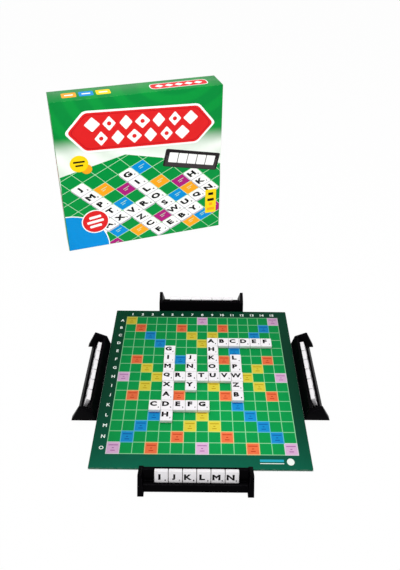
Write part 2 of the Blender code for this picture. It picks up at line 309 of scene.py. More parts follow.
def tint(bm, faces, colour):
    """Gives faces an ink: one colour, or a function that gives it for each point."""
    ink = bm.loops.layers.float_color["ink"]
    for face in faces:
        for loop in face.loops:
            loop[ink] = colour(loop.vert.co) if callable(colour) else colour


def new_piece(name, bm, finishes, place, body, smooth=30.0, shift=(0.0, 0.0, 0.0)):
    """Makes a mesh of bm, built in its own frame, puts it in its place and lets it ride on a body."""
    own = bm.verts.layers.float_vector.new("place")
    for vert in bm.verts:
        vert[own] = vert.co + Vector(shift)
    mesh = bpy.data.meshes.new(name)
    bm.to_mesh(mesh)
    bm.free()
    mesh.transform(place)
    for material in finishes:
        mesh.materials.append(material)
    mesh.shade_smooth()
    mesh.set_sharp_from_angle(angle=math.radians(smooth))
    piece = bpy.data.objects.new(name, mesh)
    bpy.context.scene.collection.objects.link(piece)
    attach(piece, body)
    return piece


def new_bmesh():
    """An empty bmesh that keeps each corner's ink and each face's share of edge wear."""
    bm = bmesh.new()
    bm.loops.layers.float_color.new("ink")
    bm.faces.layers.float.new("edge")
    return bm


def loop_of(edges):
    """One closed run of vertices from the first of the edges on. It takes its edges out of them."""
    edge = next(iter(edges))
    del edges[edge]
    first, last = edge.verts
    run = [first, last]
    while True:
        edge = next((e for e in last.link_edges if e in edges), None)
        if edge is None:
            return run[:-1] if run[-1] == first else run
        del edges[edge]
        last = edge.other_vert(last)
        run.append(last)


def signed_area(points):
    return sum(a.x * b.y - b.x * a.y for a, b in sides_of(points)) / 2


def grown(points, distance):
    """An anticlockwise outline moved outwards by distance, its sharp corners held back."""
    moved = []
    for before, point, after in corners_of(points):
        first = (point - before).normalized()
        second = (after - point).normalized()
        normals = Vector((first.y, -first.x)), Vector((second.y, -second.x))
        mitre = (normals[0] + normals[1]).normalized()
        moved.append(point + mitre * (distance / max(mitre.dot(normals[1]), MITRE_LIMIT)))
    return moved


def drawn_character(text, weight):
    """A character one unit high, raised from 0 to 1, with its middle at the origin."""
    curve = bpy.data.curves.new("character", "FONT")
    curve.body = text
    curve.fill_mode = "NONE"
    curve.resolution_u = 3
    held = bpy.data.objects.new("character", curve)
    bpy.context.scene.collection.objects.link(held)
    bpy.context.view_layer.update()
    graph = bpy.context.evaluated_depsgraph_get()
    mesh = bpy.data.meshes.new_from_object(held.evaluated_get(graph))
    bpy.data.objects.remove(held)
    wires = bmesh.new()
    wires.from_mesh(mesh)
    bpy.data.meshes.remove(mesh)
    bmesh.ops.remove_doubles(wires, verts=wires.verts, dist=OUTLINE_MERGE)
    edges = dict.fromkeys(wires.edges)
    outlines = []
    while edges:
        outlines.append([vert.co.xy.copy() for vert in loop_of(edges)])
    wires.free()
    size = max(p.y for o in outlines for p in o) - min(p.y for o in outlines for p in o)
    turned = signed_area(max(outlines, key=lambda o: abs(signed_area(o)))) < 0
    outlines = [grown([p / size for p in (o[::-1] if turned else o)], weight) for o in outlines]
    xs = [p.x for o in outlines for p in o]
    ys = [p.y for o in outlines for p in o]
    middle = Vector(((min(xs) + max(xs)) / 2, (min(ys) + max(ys)) / 2))
    size = max(ys) - min(ys)
    bm = bmesh.new()
    for outline in outlines:
        verts = [bm.verts.new((*((p - middle) / size), 0.0)) for p in outline]
        for ends in sides_of(verts):
            bm.edges.new(ends)
    bmesh.ops.triangle_fill(bm, use_beauty=True, use_dissolve=False, edges=bm.edges[:])
    raised = {vert: bm.verts.new(vert.co + Vector((0.0, 0.0, 1.0))) for vert in bm.verts[:]}
    rims = []
    for face in bm.faces[:]:
        if signed_area([vert.co for vert in face.verts]) > 0:
            face.normal_flip()
        verts = [loop.vert for loop in face.loops]
        rims += [(b, a) for (a, b), loop in zip(sides_of(verts), face.loops) if loop.edge.is_boundary]
        bm.faces.new([raised[vert] for vert in verts[::-1]])
    for a, b in rims:
        bm.faces.new((a, b, raised[b], raised[a]))
    made = bpy.data.meshes.new(f"character_{text}")
    bm.to_mesh(made)
    bm.free()
    return made


characters = {}


def stamp(bm, text, weight, place, height, stretch=1.0, ink=INK_HEIGHT, colour=None, material=0):
    """Adds a printed character to bm, sunk a little into the surface it lies on."""
    key = (text, weight)
    if key not in characters:
        characters[key] = drawn_character(text, weight)
    size = Matrix.Diagonal((height * stretch, height, INK_SUNK + ink, 1.0))
    held = characters[key].copy()
    held.transform(place @ Matrix.Translation((0.0, 0.0, -INK_SUNK)) @ size)
    before = set(bm.faces)
    bm.from_mesh(held)
    bpy.data.meshes.remove(held)
    made = [face for face in bm.faces if face not in before]
    for face in made:
        face.material_index = material
    if colour:
        tint(bm, made, colour)


def cell_middle(row, column):
    """The middle of a cell on the board: row 0 is the farthest, column 0 the leftmost."""
    middle = (CELL_COUNT - 1) / 2
    return FIELD_MIDDLE + Vector((column - middle, middle - row)) * CELL_PITCH


def cell_kind(row, column):
    inside = 0 <= row < CELL_COUNT and 0 <= column < CELL_COUNT
    return FIELD_ROWS[row][column] if inside else ""


def field_ink(x, y):
    """The colour printed at a point of the field, or None on the border."""
    across = (x - FIELD_MIDDLE.x) / CELL_PITCH + CELL_COUNT / 2
    down = (FIELD_MIDDLE.y - y) / CELL_PITCH + CELL_COUNT / 2
    half_line = LINE_WIDTH / 2 / CELL_PITCH
    low, high = -half_line, CELL_COUNT + half_line
    if not (low < across < high and low < down < high):
        return None
    on_column_line = abs(across - round(across)) < half_line
    on_row_line = abs(down - round(down)) < half_line
    columns = (round(across) - 1, round(across)) if on_column_line else (int(across),)
    rows = (round(down) - 1, round(down)) if on_row_line else (int(down),)
    kinds = [cell_kind(row, column) for row in rows for column in columns]
    coloured = [kind for kind in kinds if kind in CELL_INKS]
    if on_column_line or on_row_line:
        return FRAME_INKS[coloured[0]] if coloured else LINE_GREEN
    return CELL_INKS[coloured[0]] if coloured else FIELD_GREEN


def painted_shade_border_ink(point):
    """The border's green with painted shade: lightest in the middle of the near edge, darker towards the far
    corners.
    """
    half = BOARD_SIDE / 2
    near = min(max((half - point.y) / BOARD_SIDE, 0.0), 1.0) ** BORDER_PAINTED_SHADE_POWER
    share = near * (1 - BORDER_SIDE_PAINTED_SHADE * (point.x / half) ** 2)
    return [a + (b - a) * share for a, b in zip(BORDER_GREEN_SHADED, BORDER_GREEN_LIT)]


def with_painted_shade(colour):
    """An ink of the field with painted shade: darker the farther it lies from the near right cells, where the
    painted light is brightest.
    """
    def ink(point):
        away = (point.xy - PAINTED_LIGHT_SPOT).length / (BOARD_SIDE / 2)
        return [*(value * (1 - PAINTED_SHADE_SHARE * away) for value in colour[:3]), 1.0]
    return ink


def board_steps(middle):
    """Every coordinate of the top sheet's mesh in one direction: rims and the edges of the lines."""
    half = BOARD_SIDE / 2
    rim = [half - BOARD_EASE * share for share in BOARD_EASE_SHARES] + [half - BOARD_CORNER]
    first = middle - CELL_PITCH * CELL_COUNT / 2
    lines = []
    for i in range(CELL_COUNT + 1):
        lines += [first + CELL_PITCH * i - LINE_WIDTH / 2, first + CELL_PITCH * i + LINE_WIDTH / 2]
    return [-step for step in rim] + lines + rim[::-1]


def board_point(x, y):
    """A point of the top sheet, drawn in round the corners and down over the edge."""
    inner = BOARD_SIDE / 2 - BOARD_CORNER
    over = Vector((max(abs(x) - inner, 0.0), max(abs(y) - inner, 0.0)))
    reach = max(over)
    if over.x and over.y:
        over = over.normalized() * reach
    near_edge = max(reach - (BOARD_CORNER - BOARD_EASE), 0.0)
    drop = BOARD_EASE - math.sqrt(BOARD_EASE ** 2 - min(near_edge, BOARD_EASE) ** 2)
    flat = [math.copysign(min(abs(c), inner) + o, c) for c, o in zip((x, y), over)]
    return Vector((*flat, BOARD_TOP - drop))


board_low, board_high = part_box("game_board")
BOARD_SIDE = board_high.x - board_low.x
BOARD_TOP = board_high.z


def add_board(bm):
    steps_x = board_steps(FIELD_MIDDLE.x)
    steps_y = board_steps(FIELD_MIDDLE.y)
    grid = [[bm.verts.new(board_point(x, y)) for y in steps_y] for x in steps_x]
    edge = bm.faces.layers.float["edge"]
    for i in range(len(steps_x) - 1):
        for j in range(len(steps_y) - 1):
            corners = (grid[i][j], grid[i + 1][j], grid[i + 1][j + 1], grid[i][j + 1])
            face = bm.faces.new(corners)
            x = (steps_x[i] + steps_x[i + 1]) / 2
            y = (steps_y[j] + steps_y[j + 1]) / 2
            printed = field_ink(x, y)
            # The field's and the border's inks carry painted shade, darker away from the near right.
            tint(bm, [face], with_painted_shade(printed) if printed else painted_shade_border_ink)
            face[edge] = float(max(abs(x), abs(y)) > BOARD_SIDE / 2 - BOARD_EASE)
    left, right = grid[0], grid[-1]
    far = [column[-1] for column in grid]
    near = [column[0] for column in grid]
    rim = left[:-1] + far[:-1] + right[:0:-1] + near[:0:-1]
    for height, inset in ((BOARD_EASE, 0.0), (0.0, BOARD_EASE)):
        share = 1 - inset / (BOARD_SIDE / 2)
        lower = [bm.verts.new((v.co.x * share, v.co.y * share, height)) for v in rim]
        made = add_band(bm, rim, lower)
        tint(bm, made, painted_shade_border_ink)
        for face in made:
            face[edge] = RIM_WEAR
        rim = lower
    tint(bm, [bm.faces.new(rim)], UNDERSIDE_GREEN)


def rectangle(middle, width, height, angle=0.0):
    """The corners of a turned rectangle, anticlockwise."""
    turn = Matrix.Rotation(angle, 2)
    corners = ((-1, -1), (1, -1), (1, 1), (-1, 1))
    return [middle + turn @ Vector((x * width / 2, y * height / 2)) for x, y in corners]


def disc(middle, radius, steps=32):
    turns = [math.tau * step / steps for step in range(steps)]
    return [middle + Vector((math.cos(turn), math.sin(turn))) * radius for turn in turns]


def add_shape(bm, surface, outline, height, colour):
    """A printed shape on a surface, sunk a little into it and raised by height."""
    low = [surface @ Vector((*point, -INK_SUNK)) for point in outline]
    high = [surface @ Vector((*point, height)) for point in outline]
    tint(bm, add_prism(bm, low, high), colour)


board_surface = Matrix.Translation((0.0, 0.0, BOARD_TOP))
bm = new_bmesh()
add_board(bm)
for row, kinds in enumerate(FIELD_ROWS):
    for column, kind in enumerate(kinds):
        if kind in CELL_INKS:
            for width, rise in CELL_BAR_SHARES:
                middle = cell_middle(row, column) + Vector((0.0, rise * CELL_PITCH))
                bar = rectangle(middle, width * CELL_PITCH, CELL_BAR_HEIGHT)
                # The bars carry the same painted shade as the field.
                add_shape(bm, board_surface, bar, INK_HEIGHT, with_painted_shade(BAR_INKS[kind]))
bmesh.ops.recalc_face_normals(bm, faces=bm.faces)
board = new_piece("printed_board", bm, [print_finish], Matrix.Identity(4), "root")
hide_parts("game_board")

bm = new_bmesh()
for index in range(CELL_COUNT):
    spot = cell_middle(index, index)
    letter_place = Matrix.Translation((MARK_COLUMN_X, spot.y, BOARD_TOP))
    number_place = Matrix.Translation((spot.x, MARK_ROW_Y, BOARD_TOP))
    for text, place in ((ROW_LETTERS[index], letter_place), (str(index + 1), number_place)):
        stamp(bm, text, MARK_WEIGHT_SHARE, place, MARK_HEIGHT, MARK_STRETCH, colour=MARK_WHITE)
new_piece("board_edge_marks", bm, [mark_finish], Matrix.Identity(4), "root")

bm = new_bmesh()
add_shape(bm, board_surface, disc(*ORNAMENT_DISC), INK_HEIGHT, MARK_WHITE)
add_shape(bm, board_surface, rectangle(*ORNAMENT_BAR), INK_HEIGHT, ORNAMENT_CYAN)
add_shape(bm, board_surface, rectangle(*ORNAMENT_LINE), INK_HEIGHT, MARK_WHITE)
bmesh.ops.recalc_face_normals(bm, faces=bm.faces)
new_piece("board_ornament", bm, [mark_finish], Matrix.Identity(4), "root")

# Letter tiles on the board
# Small blocks of beech, cut, tumbled and painted white, each with a black letter and its
# points printed on one side. They lie loose where the players pushed them together.

TILE_THICKNESS = 0.0048
TILE_EDGE = 0.0006
TILE_EDGE_STEPS = 3
LETTER_HEIGHT = 0.0069
LETTER_STRETCH = 1.35
LETTER_WEIGHT_SHARE = 0.085
LETTER_MIDDLE = Vector((-0.0018, 0.0016))
POINTS_HEIGHT = 0.0020
POINTS_STRETCH = 1.2
POINTS_MIDDLE = Vector((0.0044, -0.0034))
POINTS_COUNT = 9
POINTS_STEP = 7
ALPHABET = "ABCDEFGHIJKLMNOPQRSTUVWXYZ"
TILE_WHITE = screen(250, 249, 250)
TILE_SHADE = screen(232, 226, 234)
TILE_BARE = screen(214, 198, 178)
INK_BLACK = screen(10, 8, 12)
INK_THIN = screen(60, 56, 62)


def painted_wood(tone):
    """Paint over planed wood: the grain shows faintly, and the edges are rubbed."""
    place = stored(tone, "place")
    grain = speckle(place, 0.0011, 4.0, (0.12, 1.0, 1.0))
    blotch = speckle(place, 0.006, 2.0)
    worn = worn_edges(place, 0.0012, 0.50, 0.66, 3.0)
    paint = mixed(grain * 0.4 + blotch * 0.4, TILE_WHITE, TILE_SHADE)
    return {
        "Base Color": mixed(worn * 0.35, paint, TILE_BARE),
        "Roughness": 0.34 + grain * 0.12 + worn * 0.2,
        "Normal": relief(grain, 0.00003),
    }


def letter_ink(tone):
    """Black ink, printed a little unevenly."""
    place = stored(tone, "place")
    thin = between(speckle(place, 0.0007, 3.0), 0.56, 0.74)
    return {"Base Color": mixed(thin * 0.2, INK_BLACK, INK_THIN), "Roughness": 0.42 + thin * 0.2}


tile_finish = finish("tile_paint", {"Specular IOR Level": 0.3}, painted_wood)
ink_finish = finish("tile_letter_ink", {"Specular IOR Level": 0.06}, letter_ink)


def letter_sides(node):
    """Where a node's tiles lie: their side, and one matrix for each at the middle of its letter side."""
    mesh = node.data
    fronts = [face for face in mesh.polygons if face.normal.z > 0.1]
    largest = max(fronts, key=lambda face: face.area)
    out = largest.normal.normalized()
    found = {}
    for face in fronts:
        if face.area > largest.area / 2 and face.normal.dot(out) > 0.999:
            points = [mesh.vertices[i].co for i in face.vertices]
            edges = sorted(sides_of(points), key=lambda ends: (ends[1] - ends[0]).length)
            middle = (edges[2][0] + edges[2][1]) / 2
            sides = [(b - a).normalized() * sign for a, b in edges[:2] for sign in (-1, 1)]
            up = max(sides, key=lambda side: side.dot(Vector((0.0, 0.01, 1.0))))
            right = up.cross(out).normalized()
            up = out.cross(right)
            turn = Matrix((right, up, out)).transposed().to_4x4()
            found[round(middle.dot(right), 3)] = Matrix.Translation(middle) @ turn
            flat = (edges[0][1] - edges[0][0]).length
    return flat, [found[key] for key in sorted(found)]


def add_tile(bm, side, letter, points, drop):
    """A tile whose letter side is at height 0, with its letter printed lower by drop, and its points."""
    letter_place = Matrix.Translation((LETTER_MIDDLE.x, LETTER_MIDDLE.y - drop, 0.0))
    points_place = Matrix.Translation((*POINTS_MIDDLE, 0.0))
    stamp(bm, letter, LETTER_WEIGHT_SHARE, letter_place, LETTER_HEIGHT, LETTER_STRETCH, material=1)
    stamp(bm, points, LETTER_WEIGHT_SHARE, points_place, POINTS_HEIGHT, POINTS_STRETCH, material=1)
    block = bmesh.ops.create_cube(bm, size=1.0)["verts"]
    scale = Matrix.Diagonal((side, side, TILE_THICKNESS, 1.0))
    sunk = Matrix.Translation((0.0, 0.0, -TILE_THICKNESS / 2))
    bmesh.ops.transform(bm, matrix=sunk @ scale, verts=block)
    sharp = [edge for edge in bm.edges if edge.verts[0] in block]
    made = bmesh.ops.bevel(
        bm, geom=sharp, offset=TILE_EDGE, segments=TILE_EDGE_STEPS, profile=0.5, affect="EDGES"
    )
    wear = bm.faces.layers.float["edge"]
    for face in made["faces"]:
        face[wear] = 1.0


tile_numbers = itertools.count(1)


def next_marks():
    """The next tile's number, letter and points. Letters follow the alphabet, and so spell nothing."""
    number = next(tile_numbers)
    return number, ALPHABET[(number - 1) % len(ALPHABET)], str(number * POINTS_STEP % POINTS_COUNT + 1)


def new_tile(name, place, body, side, drop=0.0):
    """A lettered tile, cut from its own part of the wood, so that no two show the same grain."""
    number, letter, points = next_marks()
    bm = new_bmesh()
    add_tile(bm, side, letter, points, drop)
    shift = (side * 3 * number, side * 2 * number, 0.0)
    return new_piece(name, bm, [tile_finish, ink_finish], place, body, 40.0, shift)


board_tiles = [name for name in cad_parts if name.startswith("tile_") and name[6:].isdigit()]
CAD_TILE_EDGE = 0.0005
TILE_SIDE = letter_sides(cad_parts[board_tiles[0]])[0] + CAD_TILE_EDGE * 2
for name in sorted(board_tiles):
    tile = new_tile(f"lettered_{name}", letter_sides(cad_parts[name])[1][0], name, TILE_SIDE)
    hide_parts(name)

# Racks
# Four hollow mouldings of black plastic, each with a sloping rest, a groove for six tiles
# and two end panels that stand on the table. Their edges are rounded by the mould.

RACK_TURNS = {"front": 0.0, "right": 90.0, "back": 180.0, "left": 270.0}
RACK_EASE = 0.00045
RACK_FOOT = 0.0001
RACK_BLACK = screen(3, 2, 4)
RACK_BRUISED = screen(26, 23, 28)
WELD_DISTANCE = 0.00001
FLAT_ANGLE = math.radians(0.5)
SHARP_ANGLE = math.radians(40)
ROUNDED_SMOOTH = 35.0


def moulded_plastic(tone):
    """Black plastic with a soft gloss, flow marks, dust and fine scratches."""
    place = stored(tone, "place")
    flow = speckle(place, 0.012, 2.0)
    dust = between(speckle(place, 0.0016, 4.0), 0.60, 0.75)
    scratch = between(speckle(place, 0.0010, 2.0, (0.1, 1.0, 1.0)), 0.64, 0.72)
    worn = worn_edges(place, 0.003, 0.45, 0.62, 3.0)
    return {
        "Base Color": mixed(worn * 0.5 + dust * 0.12, RACK_BLACK, RACK_BRUISED),
        "Roughness": 0.26 + flow * 0.12 + dust * 0.2 + scratch * 0.12,
        "Normal": relief(flow + scratch * 0.2, 0.00008),
    }


rack_finish = finish("rack_plastic", {"Specular IOR Level": 0.02}, moulded_plastic)


def softened(name, node_name, ease, finishes, place, body, colour, crisp_below=-1.0):
    """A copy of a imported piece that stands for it, its edges rounded except below a height."""
    bm = new_bmesh()
    bm.from_mesh(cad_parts[node_name].data)
    bmesh.ops.remove_doubles(bm, verts=bm.verts, dist=WELD_DISTANCE)
    bmesh.ops.dissolve_limit(bm, angle_limit=FLAT_ANGLE, verts=bm.verts, edges=bm.edges)
    bmesh.ops.transform(bm, matrix=place.inverted(), verts=bm.verts)
    low, high = [Vector([pick(v.co[axis] for v in bm.verts) for axis in range(3)]) for pick in (min, max)]
    sharp = []
    for edge in bm.edges:
        raised = max(vert.co.z for vert in edge.verts) > crisp_below
        if raised and edge.is_manifold and edge.calc_face_angle() > SHARP_ANGLE:
            sharp.append(edge)
    made = bmesh.ops.bevel(
        bm, geom=sharp, offset=ease, segments=2, profile=0.5, affect="EDGES", clamp_overlap=True
    )
    for vert in bm.verts:
        vert.co = [min(max(c, least), most) for c, least, most in zip(vert.co, low, high)]
    wear = bm.faces.layers.float["edge"]
    for face in made["faces"]:
        face[wear] = 1.0
    tint(bm, bm.faces, colour)
    piece = new_piece(name, bm, finishes, place, body, ROUNDED_SMOOTH)
    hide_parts(node_name)
    return piece


rack_places = {side: Matrix.Rotation(math.radians(turn), 4, "Z") for side, turn in RACK_TURNS.items()}
for side, place in rack_places.items():
    name = f"rack_{side}"
    softened(
        f"{name}_moulding", name, RACK_EASE, [rack_finish], place, name, RACK_BLACK, RACK_FOOT
    )

# Tiles in the racks
# Six tiles lean on each rack's rest, letter side to the player who sits there. Those of
# the front and right racks lift one by one, and the others lift as a row.

RACK_LETTER_DROP = 0.0011

for side in RACK_TURNS:
    row = f"tile_row_{side}"
    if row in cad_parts:
        for index, place in enumerate(letter_sides(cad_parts[row])[1]):
            tile = new_tile(f"{side}_rack_tile_{index + 1}", place, row, TILE_SIDE, RACK_LETTER_DROP)
            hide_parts(row)
    else:
        for name in sorted(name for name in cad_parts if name.startswith(f"{side}_tile_")):
            place = letter_sides(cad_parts[name])[1][0]
            tile = new_tile(f"lettered_{name}", place, name, TILE_SIDE, RACK_LETTER_DROP)
            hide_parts(name)

# Base of the box
# The tray that the lid slips over, folded from greyboard and wrapped in plain coated paper.
# Its back, all that shows of it when the box is closed, has a panel of generic pictures.

BOX_FRONT = Vector((-0.0969, 0.3125, 0.0))
BOX_YAW = math.radians(17.9)
box_place = Matrix.Translation(BOX_FRONT) @ Matrix.Rotation(BOX_YAW, 4, "Z")
BOX_SIDE = 0.270
BOX_DEPTH = 0.045
BASE_SIDE = 0.2654
WRAP_EASE = 0.0006
LAYER_HEIGHT = 0.00004
WRAP_PALE = screen(238, 240, 235)
WRAP_GREEN = screen(22, 152, 62)
GREYBOARD = screen(176, 168, 156)
TEXT_GREY = screen(150, 156, 152)
SHAPE_WHITE = screen(250, 250, 248)
SHAPE_BLUE = screen(0, 142, 214)
SHAPE_MAGENTA = screen(172, 30, 122)
SHAPE_ORANGE = screen(250, 166, 30)
SHAPE_GREEN = screen(0, 152, 62)
BACK_MARGIN = 0.014
BACK_BOARD = (Vector((-0.058, 0.052)), 0.092)
BACK_BOARD_CELLS = 8
BACK_CELL_SHARE = 0.86
BACK_CELL_COLOURS = (SHAPE_WHITE, None, SHAPE_BLUE, None, SHAPE_ORANGE, None, SHAPE_MAGENTA)
# Blocks of lines: the left end of each block's top line, then a line's width, height and pitch.
BACK_BLOCKS = ((0.012, 0.092), (-0.104, -0.026), (0.012, -0.026))
BACK_LINES = 9
BACK_LINE = (0.088, 0.0020)
BACK_LINE_PITCH = 0.0072
LAST_LINE_SHARE = 0.55
RAGGED_SHARE = 0.07
BACK_DOTS = (SHAPE_BLUE, SHAPE_ORANGE, SHAPE_MAGENTA, SHAPE_GREEN)
BACK_DOT_FIRST = Vector((-0.030, -0.108))
BACK_DOT_STEP = Vector((0.020, 0.0))
BACK_DOT_RADIUS = 0.0065


def coated_wrap(tone):
    """Coated paper glued round board: slight show-through, rubbed corners and fine relief."""
    place = stored(tone, "place")
    mottle = speckle(place, 0.012, 3.0)
    fibre = speckle(place, 0.0007, 3.0)
    worn = worn_edges(place, 0.005, 0.46, 0.60)
    ink = mottled(mottle, stored(tone, "ink", COLOUR), 0.93, 1.04)
    return {
        "Base Color": mixed(worn * 0.5, ink, GREYBOARD),
        "Roughness": 0.42 + mottle * 0.10 + worn * 0.25,
        "Normal": relief(fibre + mottle * 0.6, 0.00003),
    }


wrap_finish = finish("base_wrap", {"Specular IOR Level": 0.25}, coated_wrap)


def add_layer(bm, surface, outline, layer, colour):
    """A printed shape that covers the ones with lower numbers."""
    add_shape(bm, surface, outline, LAYER_HEIGHT * layer, colour)


def surface_at(origin, right, up):
    """A flat face's own frame: X to the right, Y up and Z out of it."""
    right, up = Vector(right), Vector(up)
    turn = Matrix((right, up, right.cross(up))).transposed().to_4x4()
    return Matrix.Translation(origin) @ turn


softened("base_tray", "box_base", WRAP_EASE, [wrap_finish], box_place, "root", WRAP_PALE)

back_surface = surface_at((0.0, BOX_DEPTH, BOX_SIDE / 2), (-1.0, 0.0, 0.0), (0.0, 0.0, 1.0))
bm = new_bmesh()
origin = Vector((0.0, 0.0))
full = BASE_SIDE - WRAP_EASE * 3
add_layer(bm, back_surface, rectangle(origin, full, full), 1, WRAP_GREEN)
inner = full - BACK_MARGIN * 2
add_layer(bm, back_surface, rectangle(origin, inner, inner), 2, WRAP_PALE)
board_middle, board_width = BACK_BOARD
picture = rectangle(board_middle, board_width, board_width)
add_layer(bm, back_surface, picture, 3, SHAPE_GREEN)
step = board_width / BACK_BOARD_CELLS
middle_index = (BACK_BOARD_CELLS - 1) / 2
for row in range(BACK_BOARD_CELLS):
    for column in range(BACK_BOARD_CELLS):
        colour = BACK_CELL_COLOURS[(row * 3 + column * 2) % len(BACK_CELL_COLOURS)]
        if colour:
            spot = board_middle + Vector((column - middle_index, row - middle_index)) * step
            cell = rectangle(spot, step * BACK_CELL_SHARE, step * BACK_CELL_SHARE)
            add_layer(bm, back_surface, cell, 4, colour)
line_width, line_height = BACK_LINE
for left, top in BACK_BLOCKS:
    for line in range(BACK_LINES):
        share = LAST_LINE_SHARE if line == BACK_LINES - 1 else 1.0 - RAGGED_SHARE * (line * 5 % 3)
        width = line_width * share
        middle = Vector((left + width / 2, top - line * BACK_LINE_PITCH))
        colour = TEXT_GREY if line else SHAPE_MAGENTA
        add_layer(bm, back_surface, rectangle(middle, width, line_height), 3, colour)
for index, colour in enumerate(BACK_DOTS):
    spot = disc(BACK_DOT_FIRST + BACK_DOT_STEP * index, BACK_DOT_RADIUS)
    add_layer(bm, back_surface, spot, 3, colour)
bmesh.ops.recalc_face_normals(bm, faces=bm.faces)
new_piece("base_back_print", bm, [wrap_finish], box_place, "root")

# Card insert
# One sheet of uncoated carton board, creased and folded into two platforms with a trough
# between them, and held in the base by its own spring.

CARD_EASE = 0.00025
CARD_PALE = screen(214, 208, 196)
CARD_DULL = screen(200, 193, 180)
CARD_FLECK = screen(168, 158, 142)


def carton_board(tone):
    """Recycled carton board: flecks, fibres and a slight sheen."""
    place = stored(tone, "place")
    fleck = between(speckle(place, 0.0008, 3.0), 0.60, 0.72)
    cloud = speckle(place, 0.015, 3.0)
    crease = stored(tone, "edge", NUMBER) * 0.4
    base = mixed(cloud, CARD_PALE, CARD_DULL)
    return {
        "Base Color": mixed(fleck * 0.5 + crease * 0.4, base, CARD_FLECK),
        "Roughness": 0.78 + cloud * 0.12,
        "Normal": relief(fleck + speckle(place, 0.0004), 0.00005),
    }


card_finish = finish("insert_card", {"Specular IOR Level": 0.2}, carton_board)
softened(
    "folded_insert", "card_insert", CARD_EASE, [card_finish], box_place, "root", CARD_PALE
)

# Tile bag
# A pouch of green cotton, sewn along its bottom and sides, with the tiles that aren't in
# play inside. A cord through its hem gathers the neck, and the hem spreads past it.

BAG_BODY = (-0.0738, 0.0520)
BAG_NECK = 0.0580
BAG_MOUTH = 0.0735
BAG_LOW = 0.0757
BAG_FAR = 0.0413
BAG_HALF_HEIGHT = 0.0480
BAG_HALF_THICKNESS = 0.0105
BAG_NECK_SIZE = (0.0068, 0.0050)
BAG_MOUTH_SIZE = (0.0200, 0.0088)
BAG_RINGS = 72
BAG_AROUND = 96
# The closed end: its length, and what is left there of the height and the thickness.
BAG_END = (0.030, 0.88, 0.10)
BAG_SHOULDER = 0.045
NECK_RISE = 0.012
# The section: how square it is, and how far the cloth above the tiles hangs in.
BAG_SQUARENESS = 0.75
BAG_SLACK = 0.42
BAG_SLACK_END = 0.02
# Pleats at the neck, and the wandering folds that fan out from it: length, depth and drift.
BAG_PLEATS = 11
NECK_PLEATS = (0.035, 0.16, 60)
BODY_FOLDS = (0.095, 0.14, 40)
FOLD_WANDER = 2.2
LUMP_SIZE = 0.0150
LUMP_DEPTH = 0.0030
FINE_LUMPS = (0.4, 2.3)
LUMP_PRESS = 2.2
LEAST_THICKNESS_SHARE = 0.3
HEM_SHARE = 0.86
HEM_DEPTH = 0.004
THREAD_PITCH = 0.0007
CORD_RADIUS = 0.0011
CORD_STEPS = 8
TIE_STEPS = 32
TIE_START = math.radians(100)
TIE_SUNK_SHARE = 0.3
# The cord's two ends hang on either side of the neck.
CORD_ENDS = ((-1, 0.030), (1, 0.024))
CORD_END_STEPS = 12
BAG_GREEN = screen(30, 96, 64)
BAG_LIGHT = screen(56, 130, 92)
CORD_PALE = screen(222, 214, 196)
CORD_SHADE = screen(176, 166, 146)


def woven_cotton(tone):
    """Plain weave: threads cross over and under, a little uneven, with fluff on the ridges."""
    place = stored(tone, "place")
    along, depth, height = [place.node("ShaderNodeSeparateXYZ", {}, {0: place}, axis) for axis in range(3)]
    warp = along.maths("SINE", along * (math.tau / THREAD_PITCH))
    weft = height.maths("SINE", (height + depth) * (math.tau / THREAD_PITCH))
    weave = warp * weft * 0.5 + 0.5
    slub = speckle(place, 0.004, 3.0, (1.0, 0.3, 0.3))
    fluff = between(speckle(place, 0.0015, 4.0), 0.52, 0.75)
    return {
        "Base Color": mixed(weave * 0.5 + slub * 0.3 + fluff * 0.2, BAG_GREEN, BAG_LIGHT),
        "Roughness": 0.86 + fluff * 0.1,
        "Normal": relief(weave + slub * 0.6, 0.00012),
    }


def twisted_cord(tone):
    """Cotton cord: strands laid round each other."""
    place = stored(tone, "place")
    strand = between(speckle(place, 0.0009, 2.0, (1.0, 2.5, 0.6)), 0.40, 0.62)
    return {
        "Base Color": mixed(strand, CORD_SHADE, CORD_PALE),
        "Roughness": 0.85 + strand * 0.05,
        "Normal": relief(strand, 0.00020),
    }


bag_uniform = {"Specular IOR Level": 0.15, "Sheen Weight": 0.15, "Sheen Roughness": 0.6}
bag_finish = finish("bag_cloth", bag_uniform, woven_cotton)
cord_finish = finish("bag_cord", {"Specular IOR Level": 0.15}, twisted_cord)


def smooth_share(value, low, high):
    share = min(max((value - low) / (high - low), 0.0), 1.0)
    return share * share * (3 - 2 * share)


def bag_ring(x):
    """The bag's outline at x: half height, half thickness, and the height of its middle."""
    end_length, end_height, end_thickness = BAG_END
    closed = math.sqrt(max(1 - (1 - smooth_share(x, BAG_BODY[0], BAG_BODY[0] + end_length)) ** 2, 0.0))
    neck = smooth_share(x, BAG_BODY[1] - BAG_SHOULDER, BAG_NECK)
    mouth = smooth_share(x, BAG_NECK, BAG_MOUTH)
    neck_height, neck_thickness = BAG_NECK_SIZE
    mouth_height, mouth_thickness = BAG_MOUTH_SIZE
    half_height = BAG_HALF_HEIGHT * (end_height + (1 - end_height) * closed)
    half_height += (neck_height - half_height) * neck + (mouth_height - neck_height) * mouth
    half_thickness = BAG_HALF_THICKNESS * (end_thickness + (1 - end_thickness) * closed)
    half_thickness += (neck_thickness - half_thickness) * neck + (mouth_thickness - neck_thickness) * mouth
    return half_height, half_thickness, BAG_LOW + half_height + NECK_RISE * neck


